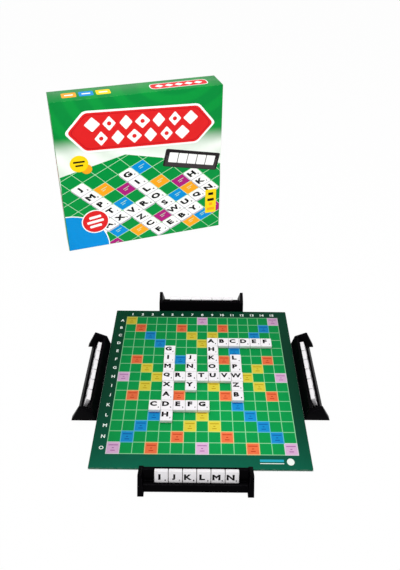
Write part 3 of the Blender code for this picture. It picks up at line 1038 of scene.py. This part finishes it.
def bag_point(x, turn):
    """A point of the pouch: it lies on its side, fuller below, with lumps where tiles press."""
    half_height, half_thickness, middle = bag_ring(x)
    up, out = math.sin(turn), math.cos(turn)
    square_up = math.copysign(abs(up) ** BAG_SQUARENESS, up)
    square_out = math.copysign(abs(out) ** BAG_SQUARENESS, out)
    loose = 1 - smooth_share(x, BAG_BODY[1] - BAG_SLACK_END, BAG_NECK)
    slack = 1 - BAG_SLACK * smooth_share(up, -0.2, 1.0) * loose
    pleat_length, pleat_depth, pleat_drift = NECK_PLEATS
    fold_length, fold_depth, fold_drift = BODY_FOLDS
    gather = smooth_share(x, BAG_BODY[1] - pleat_length, BAG_NECK)
    fan = smooth_share(x, BAG_BODY[1] - fold_length, BAG_NECK) * (1 - gather)
    wander = FOLD_WANDER * math.sin(turn * 2 + x * fold_drift)
    pleat = 1 + pleat_depth * math.cos(BAG_PLEATS * turn + x * pleat_drift) * gather
    pleat += fold_depth * math.cos(BAG_PLEATS * turn + wander) * fan
    y = square_out * half_thickness * slack * pleat
    z = square_up * half_height * (1 + (pleat - 1) * gather)
    spot = Vector((x, y, z)) / LUMP_SIZE
    fine_share, fine_scale = FINE_LUMPS
    lump = abs(noise.noise(spot)) + fine_share * abs(noise.noise(spot * fine_scale))
    inward = 1 - LUMP_DEPTH / half_thickness * min(lump * LUMP_PRESS, 1.0)
    y *= max(inward, LEAST_THICKNESS_SHARE)
    z *= 1 - LUMP_DEPTH / half_height * lump
    centre = BAG_FAR - BAG_HALF_THICKNESS
    return Vector((x, min(centre + y, BAG_FAR), max(middle + z, BAG_LOW)))


def add_tube(bm, path, radius, steps, material):
    """A round tube along a path, closed at its ends."""
    rings = []
    for i, point in enumerate(path):
        along = (path[min(i + 1, len(path) - 1)] - path[max(i - 1, 0)]).normalized()
        side = along.orthogonal().normalized() if i == 0 else (side - along * side.dot(along)).normalized()
        other = along.cross(side)
        ring = []
        for step in range(steps):
            turn = math.tau * step / steps
            ring.append(bm.verts.new(point + (side * math.cos(turn) + other * math.sin(turn)) * radius))
        rings.append(ring)
    made = [bm.faces.new(rings[0][::-1]), bm.faces.new(rings[-1])]
    for lower, upper in zip(rings, rings[1:]):
        made += add_band(bm, lower, upper)
    for face in made:
        face.material_index = material


def add_bag(bm):
    rings = []
    for ring in range(BAG_RINGS + 1):
        x = BAG_BODY[0] + (BAG_MOUTH - BAG_BODY[0]) * ring / BAG_RINGS
        turns = [math.tau * i / BAG_AROUND for i in range(BAG_AROUND)]
        rings.append([bm.verts.new(bag_point(x, turn)) for turn in turns])
    bm.faces.new(rings[0][::-1])
    middle = sum((vert.co for vert in rings[-1]), Vector()) / BAG_AROUND
    sunk = middle - Vector((HEM_DEPTH, 0.0, 0.0))
    rings.append([bm.verts.new(sunk + (vert.co - middle) * HEM_SHARE) for vert in rings[-1]])
    for lower, upper in zip(rings, rings[1:]):
        add_band(bm, lower, upper)
    bm.faces.new(rings[-1])
    centre = Vector((BAG_NECK, BAG_FAR - BAG_HALF_THICKNESS, bag_ring(BAG_NECK)[2]))
    neck_height, neck_thickness = BAG_NECK_SIZE
    proud = CORD_RADIUS * TIE_SUNK_SHARE
    tie = []
    for step in range(TIE_STEPS + 1):
        turn = math.tau * step / TIE_STEPS - TIE_START
        sideways = math.cos(turn) * (neck_thickness + proud)
        upward = math.sin(turn) * (neck_height + proud)
        tie.append(centre + Vector((0.0, sideways, upward)))
    add_tube(bm, tie, CORD_RADIUS, CORD_STEPS, 1)
    for side, length in CORD_ENDS:
        end = []
        for step in range(CORD_END_STEPS + 1):
            share = step / CORD_END_STEPS
            along = Vector((0.003 * side + length * 0.35 * share * side, -0.0066 - 0.0030 * share, 0.0))
            along.z = -0.004 - length * share + 0.004 * math.sin(share * 5)
            end.append(centre + along)
        add_tube(bm, end, CORD_RADIUS, CORD_STEPS, 1)


bm = new_bmesh()
add_bag(bm)
bmesh.ops.recalc_face_normals(bm, faces=bm.faces)
bag = new_piece("cotton_tile_bag", bm, [bag_finish, cord_finish], box_place, "root", 60.0)
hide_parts("tile_bag")

# Rules leaflet
# One sheet of printing paper, folded twice into three leaves, lying flat in front of the
# insert. Its cover has a coloured head and plain lines.

LEAF_HALF_WIDTH = 0.0738
LEAF_LOW, LEAF_HIGH = 0.0048, 0.1094
LEAF_NEAR, LEAF_FAR = 0.01502, 0.01588
LEAF_SHEET = 0.0002
LEAF_FOLD_STEPS = 6
LEAF_HEAD = (Vector((0.0, 0.088)), 0.132, 0.018)
LEAF_DOTS = 5
LEAF_DOT_STEP = Vector((0.024, 0.0))
LEAF_DOT_RADIUS = 0.005
# Two columns of lines: their left ends, the top line's height, and a line's width, height and pitch.
LEAF_COLUMNS = (-0.064, 0.004)
LEAF_LINE_TOP = 0.072
LEAF_LINE = (0.058, 0.0013)
LEAF_LINE_PITCH = 0.0048
LEAF_LINES = 14
LEAF_SHORT_LINES = (6, 13)
LEAF_SHORT_SHARE = 0.6
LEAF_RAGGED_SHARE = 0.05
PAPER_WHITE = screen(244, 243, 238)


def printing_paper(tone):
    """Uncoated paper: fine fibre, faint show-through and soft folds."""
    place = stored(tone, "place")
    fibre = speckle(place, 0.0006, 3.0)
    show = speckle(place, 0.007, 2.0)
    return {
        "Base Color": mottled(show, stored(tone, "ink", COLOUR), 0.95, 1.03),
        "Roughness": 0.68 + fibre * 0.12,
        "Normal": relief(fibre, 0.00002),
    }


paper_finish = finish("leaflet_paper", {"Specular IOR Level": 0.2}, printing_paper)


def leaf_path():
    """The folded sheet's middle line seen from above: three leaves and two folds."""
    gap = (LEAF_FAR - LEAF_NEAR - LEAF_SHEET) / 2
    levels = [LEAF_FAR - LEAF_SHEET / 2 - gap * i for i in range(3)]
    reach = LEAF_HALF_WIDTH - gap / 2 - LEAF_SHEET
    path = [Vector((-reach, levels[0]))]
    for fold, side in ((0, 1), (1, -1)):
        middle = Vector((reach * side, (levels[fold] + levels[fold + 1]) / 2))
        for step in range(LEAF_FOLD_STEPS + 1):
            turn = math.radians(90 - 180 * step / LEAF_FOLD_STEPS)
            path.append(middle + Vector((math.cos(turn) * side, math.sin(turn))) * (gap / 2))
    path.append(Vector((reach, levels[2])))
    return path


def add_leaflet(bm):
    path = leaf_path()
    sides = []
    for i, point in enumerate(path):
        along = (path[min(i + 1, len(path) - 1)] - path[max(i - 1, 0)]).normalized()
        sides.append(Vector((-along.y, along.x)) * (LEAF_SHEET / 2))
    outline = [p + s for p, s in zip(path, sides)] + [p - s for p, s in zip(path, sides)][::-1]
    made = add_prism(bm, [(*p, LEAF_LOW) for p in outline], [(*p, LEAF_HIGH) for p in outline])
    tint(bm, made, PAPER_WHITE)
    surface = surface_at((0.0, LEAF_NEAR, LEAF_LOW), (1.0, 0.0, 0.0), (0.0, 0.0, 1.0))
    add_layer(bm, surface, rectangle(*LEAF_HEAD), 1, WRAP_GREEN)
    for index in range(LEAF_DOTS):
        middle = LEAF_HEAD[0] + LEAF_DOT_STEP * (index - (LEAF_DOTS - 1) / 2)
        add_layer(bm, surface, disc(middle, LEAF_DOT_RADIUS), 2, SHAPE_WHITE)
    line_width, line_height = LEAF_LINE
    for line in range(LEAF_LINES):
        share = LEAF_SHORT_SHARE if line in LEAF_SHORT_LINES else 1.0 - LEAF_RAGGED_SHARE * (line * 4 % 3)
        for left in LEAF_COLUMNS:
            middle = Vector((left + line_width * share / 2, LEAF_LINE_TOP - line * LEAF_LINE_PITCH))
            bar = rectangle(middle, line_width * share, line_height)
            add_layer(bm, surface, bar, 1, TEXT_GREY)


bm = new_bmesh()
add_leaflet(bm)
bmesh.ops.recalc_face_normals(bm, faces=bm.faces)
leaflet = new_piece("folded_rules_leaflet", bm, [paper_finish], box_place, "root", 50.0)
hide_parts("rules_leaflet")

# Lid of the box
# Greyboard wrapped in a printed, laminated sheet that covers the whole depth of the box.
# Its print is of generic shapes: a pointed banner over a slanted field of cells and tiles.

LID_EASE = 0.0007
LID_GREEN = screen(0, 134, 56)
LID_LIGHT = screen(4, 148, 58)
LID_GLOW = screen(244, 250, 242)
LID_RED = screen(222, 34, 36)
LID_RED_DEEP = screen(190, 16, 30)
LID_YELLOW = screen(250, 214, 20)
RACK_PRINT = screen(62, 56, 58)
RACK_PRINT_DARK = screen(34, 30, 32)
DROP_GREY = screen(188, 184, 194)
FIELD_PRINT = screen(0, 144, 62)
FIELD_LINE = screen(186, 232, 190)
FILM_PALE = screen(226, 232, 222)
ARC_WIDTH = 0.034
ARC_CENTRE = (0.060, 0.0, 0.330)
GLOW_FOOT = (0.100, 0.132)
GLOW_TOP = (0.172, 0.206)
GLOW_LEAN = 0.05
FRONT_DEPTH = 0.0008
FACE_MARGIN = 0.0009
FIELD_OUTLINE = (
    (-0.1340, 0.0010),
    (0.1340, 0.0010),
    (0.1340, 0.1300),
    (-0.0280, 0.1700),
    (-0.1340, 0.1440),
)
LATTICE_ORIGIN = Vector((0.0, 0.074))
LATTICE_RIGHT = Vector((0.0212, 0.0108))
LATTICE_DOWN = Vector((0.0152, -0.0160))
LATTICE_REACH = 9
LATTICE_LINE = 0.0008
# Runs of printed tiles: column and row of the first, their number, and whether they run down.
PRINTED_RUNS = (
    (-4, 0, 6, False),
    (1, -3, 6, True),
    (-2, -4, 4, True),
    (2, 2, 3, False),
    (4, 0, 2, True),
    (-1, 1, 3, True),
    (0, 3, 3, False),
)
PRINTED_CELLS = {
    SHAPE_MAGENTA: ((-3, -1), (0, -2), (3, 0), (0, 2), (3, 4), (-5, -3), (-4, 2)),
    SHAPE_BLUE: ((-1, -1), (2, 1), (-3, 1), (2, -3), (2, 4), (-5, 0)),
    SHAPE_ORANGE: ((-4, -1), (-1, -3), (2, -1), (3, 1), (1, 4), (-2, 2), (5, 3)),
}
PRINTED_TILE_SHARE = 0.95
PRINTED_ROUNDING = 0.0022
PRINTED_DROP = Vector((0.0003, -0.0030))
PRINTED_STRETCH = 1.25
# A printed tile's letter and points: height, and place beside the tile's middle.
PRINTED_MARKS = ((0.0112, Vector((-0.0018, 0.0008, 0.0))), (0.0030, Vector((0.0066, -0.0058, 0.0))))
# The short bars in a printed cell: height above its middle, and width.
PRINTED_BARS = ((0.0026, 0.0110), (-0.0012, 0.0060))
PRINTED_BAR_HEIGHT = 0.0010
BANNER_MIDDLE = Vector((0.0020, 0.2125))
BANNER_HALF = (0.1170, 0.0315)
BANNER_POINT = 0.0270
BANNER_ANGLE = math.radians(-2.5)
BANNER_ROUNDING = 0.006
# The banner's layers from below: how far each reaches past the plate, its place and its colour.
BANNER_LAYERS = (
    (0.0034, 8, SHAPE_WHITE),
    (0.0, 9, LID_RED),
    (-0.0030, 10, LID_RED_DEEP),
    (-0.0040, 11, LID_RED),
)
# Its rows of lozenges: how many, and their height above its middle.
BANNER_ROWS = ((7, 0.0120), (6, -0.0124))
BANNER_STEP = 0.0262
LOZENGE_HALF_HEIGHT = 0.0125
LOZENGE_HALF_WIDTHS = (0.0125, 0.0105)
LOZENGE_ROUNDING = 0.002
BANNER_DOT = 0.0034
# A blank rack beside the field: middle and lean, its back, its face, and five blank tiles.
BLANK_RACK = (Vector((0.0830, 0.1440)), math.radians(-13))
BLANK_BACK = (0.0960, 0.0320)
BLANK_FACE_DROP = Vector((0.0, -0.0050))
BLANK_FACE = (0.0910, 0.0200)
BLANK_TILES = 5
BLANK_TILE_STEP = Vector((0.0165, 0.0))
BLANK_TILE_RISE = Vector((0.0, 0.0015))
BLANK_TILE = (0.0152, 0.0178)
# Discs as middle and radius, or middle and two radii, and the bars on each as rise and width.
YELLOW_DISC = (Vector((-0.1020, 0.1640)), 0.0145)
ORANGE_DISC = (Vector((-0.0910, 0.1530)), 0.0085)
YELLOW_BARS = ((0.0032, 0.0180), (-0.0032, 0.0120))
YELLOW_BAR_HEIGHT = 0.0030
CORNER_DISC = (Vector((-0.1340, 0.0010)), 0.0690, 0.0672)
CORNER_STEPS = 64
RED_DISC = (Vector((-0.0860, 0.0520)), 0.0230, 0.0212)
RED_STEPS = 40
RED_BARS = ((0.0088, 0.0200), (0.0, 0.0280), (-0.0088, 0.0200))
RED_BAR_HEIGHT = 0.0048
RED_BAR_LEAN = math.radians(8)
YELLOW_BLOCK = (Vector((0.1180, 0.0560)), 0.0200, 0.0480)
BLOCK_BARS = ((0.0150, 0.0090), (0.0030, 0.0120), (-0.0060, 0.0060), (-0.0160, 0.0130))
BLOCK_BAR_HEIGHT = 0.0052
# The lid's left and right sides: red plates with dots, and lines between the heights given.
SIDE_PLATES = ((0.0680, 0.1140), (0.1240, 0.1700))
SIDE_PLATE_WIDTH = 0.0160
SIDE_DOTS = 4
SIDE_DOT = (0.0030, 20)
SIDE_LINES = ((0.0160, 0.0580), (0.1820, 0.2500))
SIDE_LINE_SPOTS = (-0.0070, 0.0, 0.0070)
SIDE_LINE_WIDTH = 0.0011
# The lid's top: a red plate with lozenges, and three labels.
TOP_PLATE = (Vector((0.0680, -0.0010)), 0.0920, 0.0200)
TOP_LOZENGES = 5
TOP_LOZENGE_STEP = Vector((0.0160, 0.0))
TOP_LOZENGE = (0.0070, 0.0060)
TOP_LABEL_COLOURS = (SHAPE_ORANGE, SHAPE_BLUE, LID_YELLOW)
TOP_LABEL_FIRST = Vector((-0.1040, -0.0010))
TOP_LABEL_STEP = Vector((0.0260, 0.0))
TOP_LABEL = (0.0220, 0.0190)
TOP_LABEL_BAR = (0.0130, 0.0040)


def under_film(tone, printed, dark, light):
    """A print under a gloss film: fine mottling, rubs, and white showing at the rubbed edges."""
    place = stored(tone, "place")
    mottle = speckle(place, 0.010, 3.0)
    grain = speckle(place, 0.0006)
    rub = between(speckle(place, 0.030, 4.0), 0.48, 0.72)
    worn = worn_edges(place, 0.004, 0.50, 0.62)
    return {
        "Base Color": mixed(worn * 0.05, mottled(mottle, printed, dark, light), FILM_PALE),
        "Roughness": 0.28 + rub * 0.10 + worn * 0.3 + grain * 0.05,
        "Normal": relief(grain + mottle, 0.00002),
    }


def printed_shapes(tone):
    """The shapes on the lid, each in its own ink."""
    return under_film(tone, stored(tone, "ink", COLOUR), 0.94, 1.04)


def lid_ground(tone):
    """The lid's own print: two greens in broad arcs, and a pale glow across the front."""
    place = stored(tone, "place")
    across, back, height = [place.node("ShaderNodeSeparateXYZ", {}, {0: place}, axis) for axis in range(3)]
    flat = place.node("ShaderNodeVectorMath", {"operation": "MULTIPLY"}, {0: place, 1: (1.0, 0.4, 1.0)})
    reach = place.node("ShaderNodeVectorMath", {"operation": "DISTANCE"}, {0: flat, 1: ARC_CENTRE}, 1)
    wave = reach.maths("SINE", reach * (math.tau / ARC_WIDTH))
    arcs = between(wave, -0.35, 0.75)
    green = mixed(arcs * 0.75, LID_GREEN, LID_LIGHT)
    front = back < FRONT_DEPTH
    level = height + across * GLOW_LEAN
    glow = between(level, *GLOW_FOOT) * (1 - between(level, *GLOW_TOP))
    rays = 0.92 + wave * 0.08
    return under_film(tone, mixed(front * glow * rays, green, LID_GLOW), 0.95, 1.03)


ground_finish = finish("lid_wrap", {"Specular IOR Level": 0.08}, lid_ground)
lid_print_finish = finish("lid_print", {"Specular IOR Level": 0.08}, printed_shapes)
softened("wrapped_lid", "box_lid", LID_EASE, [ground_finish], box_place, "box_lid", LID_GREEN)


def rounded(points, radius):
    """An outline whose corners are rounded off."""
    eased = []
    for before, point, after in corners_of(points):
        start = point + (before - point).normalized() * radius
        stop = point + (after - point).normalized() * radius
        for share in (0.0, 0.25, 0.5, 0.75, 1.0):
            eased.append(start * (1 - share) ** 2 + point * (2 * share * (1 - share)) + stop * share ** 2)
    return eased


def lozenge(middle, half_width, half_height):
    """The corners of a lozenge, anticlockwise."""
    across, up = Vector((half_width, 0.0)), Vector((0.0, half_height))
    return [middle - across, middle - up, middle + across, middle + up]


def clipped(points, limit):
    """The part of an outline inside a convex outline. Both run anticlockwise."""
    kept = list(points)
    for a, b in sides_of(limit):
        edge = b - a
        source, kept = kept, []
        for start, stop in zip(source[-1:] + source[:-1], source):
            from_in = edge.x * (start - a).y - edge.y * (start - a).x
            to_in = edge.x * (stop - a).y - edge.y * (stop - a).x
            if from_in * to_in < 0:
                kept.append(start + (stop - start) * (from_in / (from_in - to_in)))
            if to_in >= 0:
                kept.append(stop)
        if not kept:
            return []
    return kept


def add_clipped(bm, surface, points, limit, layer, colour):
    inside = clipped(points, limit)
    if len(inside) > 2 and signed_area(inside) > 0.000001:
        add_layer(bm, surface, inside, layer, colour)


def lattice_spot(column, row):
    return LATTICE_ORIGIN + LATTICE_RIGHT * column + LATTICE_DOWN * row


def lattice_cell(column, row, share=1.0):
    """The corners of a cell of the slanted field, anticlockwise from its lower left."""
    middle = lattice_spot(column, row)
    right, down = LATTICE_RIGHT * (share / 2), LATTICE_DOWN * (share / 2)
    return [middle - right + down, middle + right + down, middle + right - down, middle - right - down]


def add_printed_field(bm, surface, limit):
    """The slanted field: its ground, cells, lines and the printed tiles with their letters."""
    field = [Vector(point) for point in FIELD_OUTLINE]
    right, up = LATTICE_RIGHT.normalized(), -LATTICE_DOWN.normalized()
    turn = Matrix(((right.x, up.x, 0.0), (right.y, up.y, 0.0), (0.0, 0.0, 1.0))).to_4x4()
    lean = math.atan2(LATTICE_RIGHT.y, LATTICE_RIGHT.x)
    add_clipped(bm, surface, field, limit, 1, FIELD_PRINT)
    for colour, cells in PRINTED_CELLS.items():
        for column, row in cells:
            add_clipped(bm, surface, lattice_cell(column, row), field, 2, colour)
            middle = lattice_spot(column, row)
            for rise, width in PRINTED_BARS:
                bar = rectangle(middle + Vector((0.0, rise)), width, PRINTED_BAR_HEIGHT, lean)
                add_clipped(bm, surface, bar, field, 3, FIELD_LINE)
    for index in range(-LATTICE_REACH, LATTICE_REACH + 1):
        for along, across in ((LATTICE_RIGHT, LATTICE_DOWN), (LATTICE_DOWN, LATTICE_RIGHT)):
            middle = LATTICE_ORIGIN + across * (index - 0.5)
            angle = math.atan2(along.y, along.x)
            line = rectangle(middle, along.length * LATTICE_REACH * 2, LATTICE_LINE, angle)
            add_clipped(bm, surface, line, field, 4, FIELD_LINE)
    spots = []
    for column, row, count, down in PRINTED_RUNS:
        for step in range(count):
            spot = (column, row + step) if down else (column + step, row)
            if spot not in spots:
                spots.append(spot)
    for column, row in sorted(spots, key=lambda spot: -lattice_spot(*spot).y):
        top = rounded(lattice_cell(column, row, PRINTED_TILE_SHARE), PRINTED_ROUNDING)
        add_clipped(bm, surface, [point + PRINTED_DROP for point in top], limit, 5, DROP_GREY)
        add_clipped(bm, surface, top, limit, 6, SHAPE_WHITE)
        tile_place = surface @ Matrix.Translation((*lattice_spot(column, row), 0.0)) @ turn
        for text, (height, offset) in zip(next_marks()[1:], PRINTED_MARKS):
            mark = tile_place @ Matrix.Translation(offset)
            stamp(bm, text, LETTER_WEIGHT_SHARE, mark, height, PRINTED_STRETCH, LAYER_HEIGHT * 7, INK_BLACK)


def add_banner(bm, surface):
    """A pointed red plate with a white rim and a chain of white lozenges and dots."""
    half_width, half_height = BANNER_HALF
    turn = Matrix.Rotation(BANNER_ANGLE, 2)
    shares = ((-1, 0), (-1, -1), (1, -1), (1, 0), (1, 1), (-1, 1))
    corners = []
    for across, up in shares:
        reach = half_width if up == 0 else half_width - BANNER_POINT
        corners.append(BANNER_MIDDLE + turn @ Vector((across * reach, up * half_height)))
    for distance, layer, colour in BANNER_LAYERS:
        plate = rounded(grown(corners, distance), BANNER_ROUNDING)
        add_layer(bm, surface, plate, layer, colour)
    for row, (count, rise) in enumerate(BANNER_ROWS):
        for index in range(count):
            spot = Vector(((index - (count - 1) / 2) * BANNER_STEP, rise))
            half_wide = LOZENGE_HALF_WIDTHS[(index + row) % 3 > 0]
            placed = [BANNER_MIDDLE + turn @ point for point in lozenge(spot, half_wide, LOZENGE_HALF_HEIGHT)]
            add_layer(bm, surface, rounded(placed, LOZENGE_ROUNDING), 12, SHAPE_WHITE)
            if (index + row) % 2:
                dot = BANNER_MIDDLE + turn @ spot
                add_layer(bm, surface, disc(dot, BANNER_DOT), 13, LID_RED)


def add_badges(bm, surface, limit):
    """The plain badges round the field: a blank rack, discs, a corner and a block."""
    middle, lean = BLANK_RACK
    turn = Matrix.Rotation(lean, 2)
    back = rounded(rectangle(middle, *BLANK_BACK, lean), 0.003)
    add_clipped(bm, surface, back, limit, 8, RACK_PRINT_DARK)
    face = rectangle(middle + turn @ BLANK_FACE_DROP, *BLANK_FACE, lean)
    add_clipped(bm, surface, face, limit, 9, RACK_PRINT)
    for index in range(BLANK_TILES):
        offset = BLANK_TILE_STEP * (index - (BLANK_TILES - 1) / 2) + BLANK_TILE_RISE
        tile = rounded(rectangle(middle + turn @ offset, *BLANK_TILE, lean), 0.001)
        add_clipped(bm, surface, tile, limit, 10, SHAPE_WHITE)
    add_layer(bm, surface, disc(*ORANGE_DISC), 8, SHAPE_ORANGE)
    add_layer(bm, surface, disc(*YELLOW_DISC), 9, LID_YELLOW)
    for rise, width in YELLOW_BARS:
        bar = rectangle(YELLOW_DISC[0] + Vector((0.0, rise)), width, YELLOW_BAR_HEIGHT)
        add_layer(bm, surface, bar, 10, INK_BLACK)
    middle, outer, inner = CORNER_DISC
    add_clipped(bm, surface, disc(middle, outer, CORNER_STEPS), limit, 8, SHAPE_WHITE)
    add_clipped(bm, surface, disc(middle, inner, CORNER_STEPS), limit, 9, SHAPE_BLUE)
    middle, outer, inner = RED_DISC
    add_layer(bm, surface, disc(middle, outer, RED_STEPS), 10, SHAPE_WHITE)
    add_layer(bm, surface, disc(middle, inner, RED_STEPS), 11, LID_RED)
    for rise, width in RED_BARS:
        bar = rectangle(middle + Vector((0.0, rise)), width, RED_BAR_HEIGHT, RED_BAR_LEAN)
        add_layer(bm, surface, rounded(bar, 0.0015), 12, SHAPE_WHITE)
    add_layer(bm, surface, rounded(rectangle(*YELLOW_BLOCK), 0.002), 8, LID_YELLOW)
    for rise, width in BLOCK_BARS:
        bar = rectangle(YELLOW_BLOCK[0] + Vector((0.0, rise)), width, BLOCK_BAR_HEIGHT)
        add_layer(bm, surface, bar, 9, INK_BLACK if rise > 0 else SHAPE_ORANGE)


def add_red_plate(bm, surface, outline, rim, outer_rounding, inner_rounding):
    """A red plate with a white rim."""
    add_layer(bm, surface, rounded(grown(outline, rim), outer_rounding), 1, SHAPE_WHITE)
    add_layer(bm, surface, rounded(outline, inner_rounding), 2, LID_RED)


half = BOX_SIDE / 2 - FACE_MARGIN
face_edge = [Vector((-half, FACE_MARGIN)), Vector((half, FACE_MARGIN))]
face_edge += [Vector((half, BOX_SIDE - FACE_MARGIN)), Vector((-half, BOX_SIDE - FACE_MARGIN))]
front_surface = surface_at((0.0, 0.0, 0.0), (1.0, 0.0, 0.0), (0.0, 0.0, 1.0))
bm = new_bmesh()
add_printed_field(bm, front_surface, face_edge)
add_badges(bm, front_surface, face_edge)
add_banner(bm, front_surface)
new_piece("lid_front_print", bm, [lid_print_finish], box_place, "box_lid")

bm = new_bmesh()
for side in (-1, 1):
    surface = surface_at((BOX_SIDE / 2 * side, BOX_DEPTH / 2, 0.0), (0.0, side, 0.0), (0.0, 0.0, 1.0))
    for low, high in SIDE_PLATES:
        plate = rectangle(Vector((0.0, (low + high) / 2)), SIDE_PLATE_WIDTH, high - low)
        add_red_plate(bm, surface, plate, 0.0012, 0.0070, 0.0062)
        for index in range(SIDE_DOTS):
            middle = Vector((0.0, low + (high - low) * (index + 0.5) / SIDE_DOTS))
            add_layer(bm, surface, disc(middle, *SIDE_DOT), 3, SHAPE_WHITE)
    for low, high in SIDE_LINES:
        for column in SIDE_LINE_SPOTS:
            bar = rectangle(Vector((column, (low + high) / 2)), SIDE_LINE_WIDTH, high - low - abs(column))
            add_layer(bm, surface, bar, 1, FIELD_LINE)
top_surface = surface_at((0.0, BOX_DEPTH / 2, BOX_SIDE), (1.0, 0.0, 0.0), (0.0, 1.0, 0.0))
add_red_plate(bm, top_surface, rectangle(*TOP_PLATE), 0.0014, 0.0090, 0.0080)
for index in range(TOP_LOZENGES):
    middle = TOP_PLATE[0] + TOP_LOZENGE_STEP * (index - (TOP_LOZENGES - 1) / 2)
    add_layer(bm, top_surface, lozenge(middle, *TOP_LOZENGE), 3, SHAPE_WHITE)
for index, colour in enumerate(TOP_LABEL_COLOURS):
    middle = TOP_LABEL_FIRST + TOP_LABEL_STEP * index
    add_layer(bm, top_surface, rounded(rectangle(middle, *TOP_LABEL), 0.0030), 1, colour)
    add_layer(bm, top_surface, rectangle(middle, *TOP_LABEL_BAR), 2, SHAPE_WHITE)
bmesh.ops.recalc_face_normals(bm, faces=bm.faces)
new_piece("lid_side_print", bm, [lid_print_finish], box_place, "box_lid")

# Floor and light
# A plain white studio sweep, lit softly from all round with a little more from above.

FLOOR_HALF = 6.0
FLOOR_DROP = 0.0002
# Under the board and in the gap beside it the floor has no glow, so the gap stays as dark as it is.
UNLIT_HALF = 0.1256
FLOOR_WHITE = screen(252, 252, 252)
FLOOR_GLOW_SHARE = 0.96
STUDIO_LEVEL = 0.60
# A wide lamp hangs over the board, and a narrow one in front lights the box: place, aim and watts.
OVERHEAD = (Vector((0.0, 0.0, 1.1)), Vector((0.0, 0.0, 0.0)), 6.2)
OVERHEAD_SIDE = 0.8
BOX_LAMP = (Vector((0.05, -0.75, 0.75)), Vector((-0.09, 0.31, 0.15)), 19.0)
BOX_LAMP_CONE = math.radians(21)
BOX_LAMP_BLUR = 0.35
BOX_LAMP_RADIUS = 0.05

floor_mesh = bpy.data.meshes.new("floor")
corners = []
for reach in (UNLIT_HALF, FLOOR_HALF):
    corners += [(x * reach, y * reach, -FLOOR_DROP) for x, y in ((-1, -1), (1, -1), (1, 1), (-1, 1))]
ring = [(i, i + 4, (i + 1) % 4 + 4, (i + 1) % 4) for i in range(4)]
floor_mesh.from_pydata(corners, [], [(0, 1, 2, 3), *ring])
floor = bpy.data.objects.new("floor", floor_mesh)
bpy.context.scene.collection.objects.link(floor)


def seen_white(tone):
    """1 for rays that see the background itself: from the camera, in gloss or through glass."""
    rays = tone.node("ShaderNodeLightPath").socket.node
    names = ("Is Camera Ray", "Is Glossy Ray", "Is Transmission Ray")
    camera_ray, glossy_ray, clear_ray = [Tone(tone.tree, rays.outputs[name]) for name in names]
    seen = tone.maths("MAXIMUM", camera_ray, glossy_ray)
    return tone.maths("MAXIMUM", seen, clear_ray)


plain_floor = finish("plain_floor", {"Base Color": FLOOR_WHITE, "Roughness": 0.9}, lambda tone: {})
floor_finish = finish("studio_floor", {"Base Color": FLOOR_WHITE, "Roughness": 0.9}, lambda tone: {})
tree = floor_finish.node_tree
tone = Tone(tree)
white = (1.0, 1.0, 1.0, 1.0)
lit = Tone(tree, tree.nodes["Principled BSDF"].outputs[0])
glow = tone.node("ShaderNodeEmission", {}, {"Color": white, "Strength": 1.0})
shown = tone.node("ShaderNodeMixShader", {}, {0: seen_white(tone) * FLOOR_GLOW_SHARE, 1: lit, 2: glow})
tree.links.new(shown.socket, tree.nodes["Material Output"].inputs["Surface"])
for material in (plain_floor, floor_finish):
    floor_mesh.materials.append(material)
for face in floor_mesh.polygons[1:]:
    face.material_index = 1

world = bpy.data.worlds.new("studio")
bpy.context.scene.world = world
world.use_nodes = True
tone = Tone(world.node_tree)
lit = tone.node("ShaderNodeBackground", {}, {"Color": white, "Strength": STUDIO_LEVEL})
shown = tone.node("ShaderNodeBackground", {}, {"Color": white, "Strength": 1.0})
studio = tone.node("ShaderNodeMixShader", {}, {0: seen_white(tone), 1: lit, 2: shown})
world.node_tree.links.new(studio.socket, world.node_tree.nodes["World Output"].inputs["Surface"])


def new_lamp(name, kind, place, aim, power):
    lamp = bpy.data.objects.new(name, bpy.data.lights.new(name, kind))
    bpy.context.scene.collection.objects.link(lamp)
    lamp.location = place
    lamp.rotation_euler = (aim - place).to_track_quat("-Z", "Y").to_euler()
    lamp.data.energy = power
    lamp.visible_camera = False
    return lamp


new_lamp("overhead", "AREA", *OVERHEAD).data.size = OVERHEAD_SIDE
box_lamp = new_lamp("box_lamp", "SPOT", *BOX_LAMP)
box_lamp.data.spot_size = BOX_LAMP_CONE
box_lamp.data.spot_blend = BOX_LAMP_BLUR
box_lamp.data.shadow_soft_size = BOX_LAMP_RADIUS

bpy.context.scene.view_settings.view_transform = "Standard"
